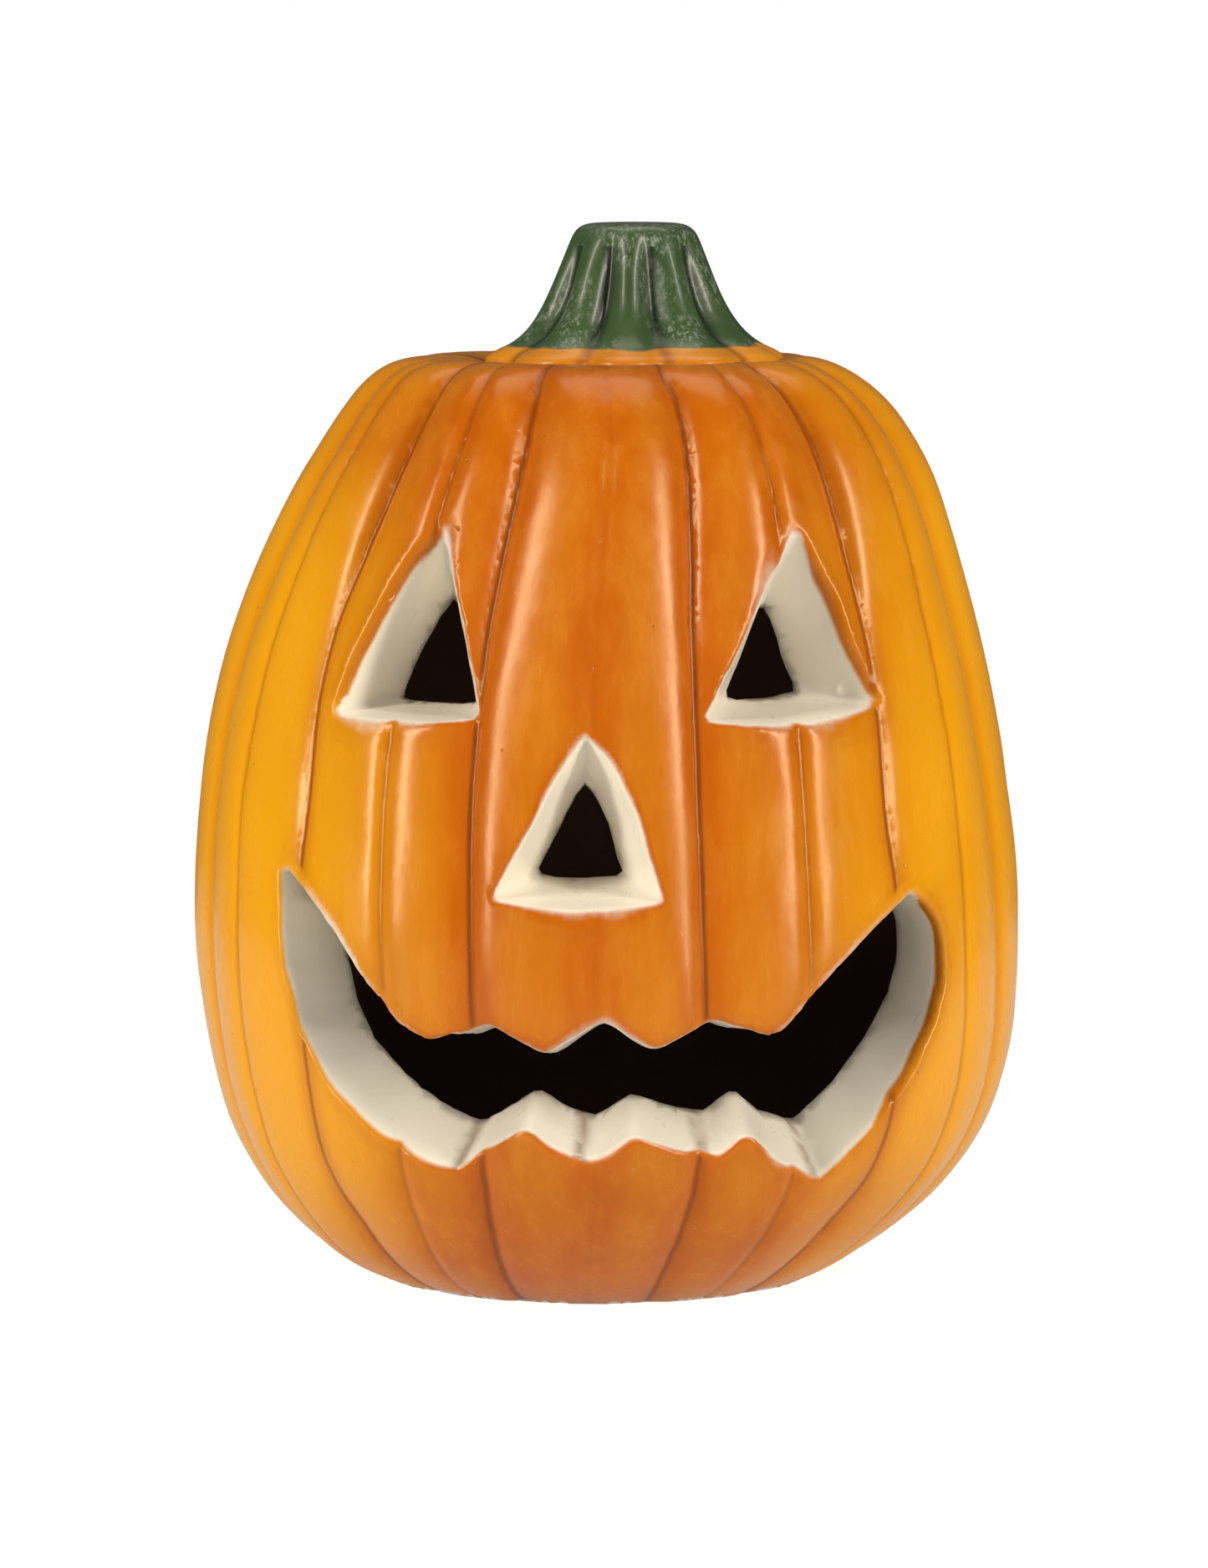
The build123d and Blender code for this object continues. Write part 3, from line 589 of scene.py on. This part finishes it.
def make_stem():
    """The fluted stem with its spread foot, which is painted like the body."""
    per_lobe = len(LOBE_COLUMNS)
    sides = LOBES * per_lobe
    rings = [(SEAT + height, radius) for height, radius, groove in STEM_RINGS]
    stem = lathe_rings("pumpkin_stem", rings, sides)
    bpy.ops.object.mode_set(mode="EDIT")
    mesh = bmesh.from_edit_mesh(stem.data)
    for vert in mesh.verts:
        ring = min(range(len(rings)), key=lambda i: abs(rings[i][0] * MM - vert.co.z)
                   + abs(rings[i][1] * MM - vert.co.xy.length))
        groove = STEM_RINGS[ring][2]
        turn = math.atan2(vert.co.x, -vert.co.y) % (2 * math.pi)
        step = round(turn / (2 * math.pi) * sides) % sides
        lobe, column = divmod(step, per_lobe)
        uneven = 1 + 0.3 * math.sin(2.4 * lobe + 1)
        angle = turn + LOBE_TURN
        r = vert.co.xy.length - groove * LOBE_COLUMNS[column] * uneven * MM
        vert.co.x = r * math.sin(angle) + STEM_X * MM
        vert.co.y = -r * math.cos(angle)
    bmesh.update_edit_mesh(stem.data)
    bpy.ops.object.mode_set(mode="OBJECT")
    soften(stem, 2)
    for vert in stem.data.vertices:
        push = noise.noise(vert.co * 90) * 0.3
        fade = min(1.0, max(0.0, vert.co.z / MM - SEAT) / 3)
        vert.co += Vector((vert.co.x - STEM_X * MM, vert.co.y, 0)).normalized() * (push - 0.1) * fade * MM
    flutes = []
    for vert in stem.data.vertices:
        turn = math.atan2(vert.co.x - STEM_X * MM, -vert.co.y) - LOBE_TURN
        radius = math.hypot(vert.co.x - STEM_X * MM, vert.co.y) / MM
        away = math.sin(turn * LOBES / 2) * 2 / LOBES * radius
        flutes.append(away if vert.co.z / MM < TOP - 5 else math.copysign(9.0, away))
    stem.data.attributes.new("flute", "FLOAT", "POINT").data.foreach_set("value", flutes)
    for polygon in stem.data.polygons:
        polygon.use_smooth = True
    return stem


stem = make_stem()


# ------------------------------------------------------------------------ materials
def new_group(name, sockets_in, sockets_out):
    """A shader node group with named float, colour or vector sockets."""
    group = bpy.data.node_groups.new(name, "ShaderNodeTree")
    for label, kind, value in sockets_in:
        socket = group.interface.new_socket(name=label, in_out="INPUT", socket_type="NodeSocket" + kind)
        if value is not None:
            socket.default_value = value
    for label, kind in sockets_out:
        group.interface.new_socket(name=label, in_out="OUTPUT", socket_type="NodeSocket" + kind)
    return group, group.nodes.new("NodeGroupInput"), group.nodes.new("NodeGroupOutput")


class Nodes:
    """Short ways to add and join nodes in one tree."""

    def __init__(self, tree):
        self.tree = tree

    def put(self, target, value):
        if isinstance(value, bpy.types.NodeSocket):
            self.tree.links.new(value, target)
        else:
            target.default_value = value

    def add(self, kind, settings=None, **inputs):
        node = self.tree.nodes.new("ShaderNode" + kind)
        for key, value in (settings or {}).items():
            setattr(node, key, value)
        for key, value in inputs.items():
            self.put(node.inputs[key.replace("_", " ")], value)
        return node

    def math(self, operation, a, b=0.0, clamp=False):
        node = self.tree.nodes.new("ShaderNodeMath")
        node.operation = operation
        node.use_clamp = clamp
        self.put(node.inputs[0], a)
        self.put(node.inputs[1], b)
        return node.outputs[0]

    def noise(self, vector, scale, detail=3.0, rough=0.5, stretch=None):
        if stretch:
            vector = self.add("Mapping", Vector=vector, Scale=stretch).outputs[0]
        return self.add("TexNoise", Vector=vector, Scale=scale, Detail=detail, Roughness=rough).outputs["Fac"]

    def span(self, value, low, high, out_low=0.0, out_high=1.0):
        node = self.add("MapRange", {"interpolation_type": "SMOOTHSTEP"})
        for index, item in enumerate((value, low, high, out_low, out_high)):
            self.put(node.inputs[index], item)
        return node.outputs[0]

    def blend(self, share, a, b, how="MIX"):
        node = self.tree.nodes.new("ShaderNodeMix")
        node.data_type = "RGBA"
        node.blend_type = how
        self.put(node.inputs[0], share)
        self.put(node.inputs[6], a)
        self.put(node.inputs[7], b)
        return node.outputs[2]

    def field(self, name):
        return self.add("Attribute", {"attribute_name": name}).outputs["Fac"]


def speckle_group():
    """Tiny pits and specks, as in a glaze that was brushed and fired."""
    sockets = [("Vector", "Vector", None), ("Size", "Float", 1.0), ("Amount", "Float", 0.1)]
    group, inside, outside = new_group("glaze_specks", sockets, [("Pits", "Float"), ("Specks", "Float")])
    n = Nodes(group)
    scale = n.math("DIVIDE", 330.0, inside.outputs["Size"])
    cells = n.add("TexVoronoi", Vector=inside.outputs["Vector"], Scale=scale)
    chance = n.add("TexWhiteNoise", Vector=cells.outputs["Position"]).outputs["Value"]
    rare = n.math("LESS_THAN", chance, inside.outputs["Amount"])
    near = n.span(cells.outputs["Distance"], 0.06, 0.17, 1.0, 0.0)
    group.links.new(n.math("MULTIPLY", near, rare), outside.inputs["Pits"])
    colour_chance = n.add("SeparateColor", Color=cells.outputs["Color"]).outputs[1]
    some = n.math("LESS_THAN", colour_chance, n.math("MULTIPLY", inside.outputs["Amount"], 0.6))
    group.links.new(n.math("MULTIPLY", near, some), outside.inputs["Specks"])
    return group


def brush_group():
    """Long upright brush marks and blotches, from 0 to 1."""
    sockets = [("Vector", "Vector", None), ("Upright", "Float", 0.2)]
    group, inside, outside = new_group("brushed_colour", sockets, [("Strokes", "Float"), ("Blotches", "Float")])
    n = Nodes(group)
    stretch = n.add("CombineXYZ", X=1.0, Y=1.0, Z=inside.outputs["Upright"]).outputs[0]
    along = n.add("VectorMath", {"operation": "MULTIPLY"})
    n.put(along.inputs[0], inside.outputs["Vector"])
    n.put(along.inputs[1], stretch)
    strokes = n.noise(along.outputs[0], 170.0, 4.0, 0.62)
    group.links.new(strokes, outside.inputs["Strokes"])
    group.links.new(n.noise(inside.outputs["Vector"], 24.0, 3.0, 0.5), outside.inputs["Blotches"])
    return group


def grain_group():
    """Fine moulded grain with faint scratches, as a height and a dust mask."""
    group, inside, outside = new_group("moulded_grain", [("Vector", "Vector", None), ("Scale", "Float", 1.0)],
                                       [("Height", "Float"), ("Wear", "Float")])
    n = Nodes(group)
    fine = n.noise(inside.outputs["Vector"], n.math("MULTIPLY", inside.outputs["Scale"], 1900.0), 2.0, 0.5)
    wide = n.noise(inside.outputs["Vector"], n.math("MULTIPLY", inside.outputs["Scale"], 60.0), 4.0, 0.6)
    group.links.new(fine, outside.inputs["Height"])
    group.links.new(n.span(wide, 0.45, 0.72), outside.inputs["Wear"])
    return group


SPECKS = speckle_group()
BRUSH = brush_group()
GRAIN = grain_group()


def start(name):
    """A material with its node helper, shader and object coordinates."""
    material = bpy.data.materials.new(name)
    material.use_nodes = True
    nodes = Nodes(material.node_tree)
    shader = next(node for node in material.node_tree.nodes if node.type == "BSDF_PRINCIPLED")
    place = nodes.add("TexCoord").outputs["Object"]
    return material, nodes, shader, place


def use(nodes, group, **inputs):
    """Puts a shared effect into a material with its own values."""
    node = nodes.tree.nodes.new("ShaderNodeGroup")
    node.node_tree = group
    for key, value in inputs.items():
        nodes.put(node.inputs[key], value)
    return node


def set_gloss(shader, coat, coat_rough, specular=0.5):
    """Gloss values that are the same all over the piece."""
    shader.inputs["Coat Weight"].default_value = coat
    shader.inputs["Coat Roughness"].default_value = coat_rough
    shader.inputs["Specular IOR Level"].default_value = specular


def orange_colour(n, place):
    """Orange paint: deep in front, lighter and yellower round the sides and back as painted light from the side
    lamps, a little less so near the top, with brush strokes and blotches of uneven tone.
    """
    axes = n.add("SeparateXYZ", Vector=place)
    brush = use(n, BRUSH, Vector=place, Upright=0.22)
    side = n.math("ABSOLUTE", n.math("ADD", axes.outputs["X"], -0.006))
    back = n.span(axes.outputs["Y"], -0.075, -0.01)
    # painted light: the sides and back are made lighter and yellower, as where the side lamps fall; the
    # blotches added below are the paint's own uneven tone
    yellow = n.math("MAXIMUM", n.span(side, 0.028, 0.086), back)
    high = n.span(axes.outputs["Z"], 0.17, 0.215)
    yellow = n.math("SUBTRACT", yellow, n.math("MULTIPLY", high, 0.35), clamp=True)
    blotch = n.math("SUBTRACT", brush.outputs["Blotches"], 0.5)
    yellow = n.math("ADD", yellow, n.math("MULTIPLY", blotch, 0.5), clamp=True)
    colour = n.blend(yellow, (0.58, 0.124, 0.0010, 1), (0.92, 0.400, 0.0030, 1))
    strokes = n.span(brush.outputs["Strokes"], 0.35, 0.75)
    colour = n.blend(n.math("MULTIPLY", strokes, 0.16), colour, (0.95, 0.42, 0.03, 1))
    return colour, brush


def pumpkin_glaze():
    """Orange glaze with painted shade in its grooves and round its openings, cream on the cut walls and painted
    shade in dark brown inside.
    """
    material, n, shader, place = start("pumpkin_glaze")
    colour, brush = orange_colour(n, place)
    gap = n.math("ABSOLUTE", n.field("across"))
    gap = n.math("ADD", gap, n.math("MULTIPLY", n.math("SUBTRACT", brush.outputs["Blotches"], 0.5), 0.8))
    skin = n.span(n.field("cream"), -1.5, -0.5, 1.0, 0.0)
    deep = n.math("MULTIPLY", n.math("LESS_THAN", n.field("kind"), 0.0), skin)
    faint = n.math("MULTIPLY", n.math("GREATER_THAN", n.field("kind"), 0.0), skin)
    sideways = n.math("ABSOLUTE", n.add("SeparateXYZ", Vector=place).outputs["X"])
    off_middle = n.span(sideways, 0.008, 0.016, 0.12, 0.5)
    lines = n.math("ADD", deep, n.math("MULTIPLY", faint, off_middle))
    # painted shade: a thin dark line along every groove, fainter along the shallow ones near the middle
    line = n.math("MULTIPLY", n.span(gap, 0.1, 1.2, 1.0, 0.0), lines)
    broad = n.math("MULTIPLY", n.span(gap, 0.5, 5.0, 1.0, 0.0), deep)
    # partly dry-brushed paint and partly painted highlight: the rib crests are lighter and more golden away
    # from the grooves
    crest = n.math("MULTIPLY", n.span(gap, 3.0, 9.0), skin)
    colour = n.blend(n.math("MULTIPLY", crest, 0.16), colour, (0.98, 0.46, 0.02, 1))
    # painted shade in the grooves: a broad darker red round the deep grooves, then the thin dark line
    colour = n.blend(n.math("MULTIPLY", broad, 0.4), colour, (0.52, 0.105, 0.001, 1))
    colour = n.blend(n.math("MULTIPLY", line, 0.75), colour, (0.27, 0.050, 0.0005, 1))
    # painted shade in brown on the openings' sloped edges and round them
    colour = n.blend(n.math("MULTIPLY", n.field("painted_edge_shade"), 0.85), colour, (0.46, 0.110, 0.002, 1))
    dots = use(n, SPECKS, Vector=place, Size=1.0, Amount=0.03)
    colour = n.blend(n.math("MULTIPLY", dots.outputs["Pits"], 0.45), colour, (0.26, 0.045, 0.004, 1))
    colour = n.blend(n.math("MULTIPLY", dots.outputs["Specks"], 0.3), colour, (0.95, 0.72, 0.42, 1))
    # soft sprayed edge between the orange and the bare cream of the cut walls
    spray = n.noise(place, 320.0, 3.0, 0.55)
    reach = n.math("ADD", n.field("cream"), n.math("MULTIPLY", n.math("SUBTRACT", spray, 0.5), 0.6))
    cream = n.span(reach, -0.6, 1.0)
    clay = n.blend(brush.outputs["Blotches"], (0.90, 0.83, 0.70, 1), (0.94, 0.90, 0.81, 1))
    colour = n.blend(cream, colour, clay)
    # painted shade: dark lines across the lower lip where the rib grooves cross it
    colour = n.blend(n.math("MULTIPLY", n.field("crease"), 0.7), colour, (0.20, 0.095, 0.04, 1))
    # painted shade: the inside of the hollow, away from the cut walls, is coloured dark brown
    dark = n.span(n.field("edge"), 1.8, 3.2)
    dark = n.math("MULTIPLY", dark, n.span(n.field("cream"), 2.0, 4.0))
    colour = n.blend(dark, colour, (0.20, 0.10, 0.062, 1))
    n.put(shader.inputs["Base Color"], colour)
    rough = n.span(brush.outputs["Strokes"], 0.3, 0.8, 0.21, 0.32)
    rough = n.math("ADD", rough, n.math("MULTIPLY", line, 0.05))
    rough = n.math("ADD", rough, n.math("MULTIPLY", cream, 0.06))
    rough = n.math("ADD", rough, n.math("MULTIPLY", dark, 0.4))
    n.put(shader.inputs["Roughness"], rough)
    shader.inputs["Specular Tint"].default_value = (1.0, 0.86, 0.60, 1)
    wave = n.noise(place, 95.0, 4.0, 0.55)
    pits = n.math("MULTIPLY", dots.outputs["Pits"], -0.5)
    marks = n.math("ADD", pits, n.math("MULTIPLY", brush.outputs["Strokes"], 0.22))
    height = n.math("ADD", n.math("MULTIPLY", wave, 0.45), marks)
    height = n.math("SUBTRACT", height, n.math("MULTIPLY", line, 0.45))
    bump = n.add("Bump", Strength=0.4, Distance=0.0006, Height=height)
    n.put(shader.inputs["Normal"], bump.outputs[0])
    set_gloss(shader, 0.0, 0.22, 0.52)
    return material


def stem_glaze():
    """Dry-brushed green, with the body's orange on the spread foot."""
    material, n, shader, place = start("stem_glaze")
    axes = n.add("SeparateXYZ", Vector=place)
    brush = use(n, BRUSH, Vector=place, Upright=0.35)
    tone = n.span(brush.outputs["Blotches"], 0.3, 0.7)
    green = n.blend(tone, (0.026, 0.060, 0.016, 1), (0.056, 0.110, 0.036, 1))
    flecks = n.noise(place, 900.0, 6.0, 0.75, stretch=(1.0, 1.0, 0.5))
    patches = n.noise(place, 70.0, 2.0, 0.5)
    frost = n.math("MULTIPLY", n.span(flecks, 0.48, 0.62), n.span(patches, 0.40, 0.60))
    rim = n.span(axes.outputs["Z"], (TOP - 4) * MM, (TOP - 0.5) * MM)
    rim_frost = n.math("MULTIPLY", n.span(flecks, 0.42, 0.6), n.math("MULTIPLY", rim, 0.7))
    frost = n.math("MAXIMUM", frost, rim_frost)
    green = n.blend(n.math("MULTIPLY", frost, 0.5), green, (0.42, 0.48, 0.42, 1))
    # painted shade: the flutes of the stem are darkened in the green
    flute = n.span(n.math("ABSOLUTE", n.field("flute")), 0.2, 2.4, 1.0, 0.0)
    green = n.blend(n.math("MULTIPLY", flute, 0.8), green, (0.006, 0.016, 0.005, 1))
    orange, orange_brush = orange_colour(n, place)
    line = n.math("MULTIPLY", n.math("SUBTRACT", n.noise(place, 60.0, 2.0, 0.5), 0.5), 0.0022)
    level = n.math("ADD", axes.outputs["Z"], line)
    painted = n.span(level, (SEAT + 3.6) * MM, (SEAT + 4.2) * MM)
    # painted shade in the flutes of the orange foot
    orange = n.blend(n.math("MULTIPLY", flute, 0.6), orange, (0.30, 0.045, 0.002, 1))
    n.put(shader.inputs["Base Color"], n.blend(painted, orange, green))
    n.put(shader.inputs["Roughness"], n.span(brush.outputs["Strokes"], 0.3, 0.8, 0.26, 0.42))
    height = n.math("ADD", n.math("MULTIPLY", flecks, 0.5), n.noise(place, 130.0, 3.0, 0.5))
    bump = n.add("Bump", Strength=0.35, Distance=0.0006, Height=height)
    n.put(shader.inputs["Normal"], bump.outputs[0])
    set_gloss(shader, 0.35, 0.16, 0.4)
    return material


def plastic(name, dark, light, rough, coat=0.0, bump_strength=0.15, scale=1.0):
    """Moulded plastic, rubber or lacquer with grain and faint wear."""
    material, n, shader, place = start(name)
    grain = use(n, GRAIN, Vector=place, Scale=scale)
    n.put(shader.inputs["Base Color"], n.blend(n.math("MULTIPLY", grain.outputs["Wear"], 0.6), dark, light))
    n.put(shader.inputs["Roughness"], n.math("ADD", rough, n.math("MULTIPLY", grain.outputs["Wear"], 0.12)))
    bump = n.add("Bump", Strength=bump_strength, Distance=0.0002, Height=grain.outputs["Height"])
    n.put(shader.inputs["Normal"], bump.outputs[0])
    set_gloss(shader, coat, 0.2)
    return material


def metal(name, dark, light, rough):
    """Plated metal, a little duller where it is handled."""
    material = plastic(name, dark, light, rough, bump_strength=0.08, scale=0.6)
    shader = next(node for node in material.node_tree.nodes if node.type == "BSDF_PRINCIPLED")
    shader.inputs["Metallic"].default_value = 1.0
    return material


def battery_jacket():
    """A plain sleeve, dark blue with a copper end, and bare metal at the terminals."""
    material, n, shader, place = start("battery_jacket")
    axes = n.add("SeparateXYZ", Vector=place)
    grain = use(n, GRAIN, Vector=place, Scale=0.5)
    copper = n.span(n.math("ABSOLUTE", axes.outputs["Y"]), 0.0150, 0.0152)
    colour = n.blend(copper, (0.015, 0.035, 0.12, 1), (0.55, 0.26, 0.10, 1))
    colour = n.blend(n.math("MULTIPLY", grain.outputs["Wear"], 0.25), colour, (0.35, 0.35, 0.37, 1))
    n.put(shader.inputs["Base Color"], colour)
    n.put(shader.inputs["Metallic"], n.math("MULTIPLY", copper, 0.9))
    n.put(shader.inputs["Roughness"], n.math("ADD", 0.25, n.math("MULTIPLY", grain.outputs["Wear"], 0.15)))
    return material


SLOT_MATERIALS = {
    "black_plastic": plastic("black_plastic", (0.010, 0.010, 0.011, 1), (0.030, 0.030, 0.032, 1), 0.52,
                             bump_strength=0.3),
    "knob_plastic": plastic("knob_plastic", (0.50, 0.50, 0.48, 1), (0.36, 0.36, 0.34, 1), 0.38, 0.1),
    "chip_plastic": plastic("chip_plastic", (0.012, 0.012, 0.013, 1), (0.03, 0.03, 0.03, 1), 0.6),
    "silicone": plastic("silicone", (0.50, 0.48, 0.45, 1), (0.60, 0.58, 0.55, 1), 0.55,
                        bump_strength=0.1),
    "diffuser_plastic": plastic("diffuser_plastic", (0.72, 0.66, 0.52, 1), (0.80, 0.75, 0.62, 1), 0.42, 0.15),
    "circuit_board": plastic("circuit_board", (0.010, 0.10, 0.035, 1), (0.02, 0.16, 0.05, 1), 0.34, 0.3),
    "led_epoxy": plastic("led_epoxy", (0.75, 0.52, 0.16, 1), (0.82, 0.62, 0.24, 1), 0.15, 0.6, 0.03),
    "screw_steel": metal("screw_steel", (0.60, 0.60, 0.60, 1), (0.42, 0.42, 0.41, 1), 0.30),
    "battery_jacket": battery_jacket(),
    "contact_metal": metal("contact_metal", (0.70, 0.68, 0.64, 1), (0.50, 0.48, 0.45, 1), 0.25),
}
# The light unit's pieces stay as they are, each with its own material
node_slots = {part["node"]: part["material_slot"] for part in frame["record"]["subparts"]}
for node, obj in frame["nodes"].items():
    if node_slots[node] in SLOT_MATERIALS:
        obj.data.materials.clear()
        obj.data.materials.append(SLOT_MATERIALS[node_slots[node]])

for piece, material in ((shell, pumpkin_glaze()), (stem, stem_glaze())):
    piece.data.materials.clear()
    piece.data.materials.append(material)
    for polygon in piece.data.polygons:
        polygon.material_index = 0
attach(shell, "lantern")
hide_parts("pumpkin_shell")
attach(stem, "lantern")
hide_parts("stem")


# ---------------------------------------------------------- floor, light and camera
WARM = (1.0, 0.93, 0.80)
FLOOR_SIZE = 1.3
FLOOR_GLOW = 0.88     # a lit white table, so that hardly any shadow is seen on it
FLOOR_BOUNCE = 0.28   # what it throws up at the lantern
ROOM_LIGHT = 0.07     # what the dim room gives from all sides


def studio_floor():
    """A plain pale table."""
    deselect()
    bpy.ops.mesh.primitive_plane_add(size=FLOOR_SIZE, location=(0, 0, 0))
    floor = bpy.context.object
    floor.name = "floor"
    material, n, shader, place = start("pale_floor")
    tone = n.noise(place, 3.0, 2.0, 0.5)
    n.put(shader.inputs["Base Color"], n.blend(tone, (0.48, 0.48, 0.48, 1), (0.52, 0.52, 0.52, 1)))
    shader.inputs["Roughness"].default_value = 0.9
    shader.inputs["Emission Color"].default_value = (1, 1, 1, 1)
    seen = n.add("LightPath").outputs["Is Camera Ray"]
    n.put(shader.inputs["Emission Strength"], n.span(seen, 0.0, 1.0, FLOOR_BOUNCE, FLOOR_GLOW))
    below = n.add("NewGeometry").outputs["Backfacing"]
    clear = n.add("BsdfTransparent").outputs[0]
    one_sided = n.add("MixShader", Fac=below)
    n.put(one_sided.inputs[1], shader.outputs[0])
    n.put(one_sided.inputs[2], clear)
    surface = next(node for node in material.node_tree.nodes if node.type == "OUTPUT_MATERIAL")
    n.put(surface.inputs["Surface"], one_sided.outputs[0])   # from underneath the floor isn't seen
    floor.data.materials.append(material)


def softbox(name, place, aim, width, height, watts, warmth=(1, 1, 1)):
    """An area light turned to what it lights."""
    lamp = bpy.data.lights.new(name, "AREA")
    lamp.shape = "RECTANGLE"
    lamp.size = width
    lamp.size_y = height
    lamp.energy = watts
    lamp.color = warmth
    obj = bpy.data.objects.new(name, lamp)
    bpy.context.collection.objects.link(obj)
    obj.location = place
    obj.rotation_euler = (Vector(aim) - Vector(place)).to_track_quat("-Z", "Y").to_euler()
    return obj


studio_floor()
middle = (0.0, 0.0, 0.5 * TOP * MM)
softbox("left_softbox", (-1.05, -0.75, 0.6), middle, 0.22, 1.25, 14, WARM)
softbox("right_softbox", (1.05, -0.75, 0.6), middle, 0.20, 1.25, 14, WARM)
softbox("top_softbox", (0.0, 0.35, 1.35), middle, 0.9, 0.7, 3, WARM)
fill = softbox("front_fill", (0.1, -1.6, 0.9), middle, 1.6, 1.0, 2.8)
back_fill = softbox("back_fill", (-0.1, 1.6, 0.9), middle, 1.6, 1.0, 3.2)
for lamp in (fill, back_fill):   # these lift the shade without a shine of their own
    lamp.visible_glossy = False
world = bpy.data.worlds.new("studio")
world.use_nodes = True
sky = Nodes(world.node_tree)
background = world.node_tree.nodes["Background"]
backdrop = sky.add("LightPath").outputs["Is Camera Ray"]
sky.put(background.inputs["Strength"], sky.span(backdrop, 0.0, 1.0, ROOM_LIGHT, 1.0))
background.inputs["Color"].default_value = (1, 1, 1, 1)
scene = bpy.context.scene
scene.world = world
scene.view_settings.view_transform = "Standard"

CAMERA_TURN = math.radians(2.5)
CAMERA_RISE = math.radians(6.0)
CAMERA_DISTANCE = 1.70
CAMERA_AIM = Vector((-0.8 * MM, 0, 116.2 * MM))
LENS = 163.8
back = Vector((math.sin(CAMERA_TURN) * math.cos(CAMERA_RISE),
               -math.cos(CAMERA_TURN) * math.cos(CAMERA_RISE), math.sin(CAMERA_RISE)))
camera_data = bpy.data.cameras.new("camera")
camera_data.sensor_fit = "VERTICAL"
camera_data.sensor_height = 36.0
camera_data.lens = LENS
camera = bpy.data.objects.new("camera", camera_data)
bpy.context.collection.objects.link(camera)
camera.location = CAMERA_AIM + back * CAMERA_DISTANCE
camera.rotation_euler = back.to_track_quat("Z", "Y").to_euler()
scene.camera = camera
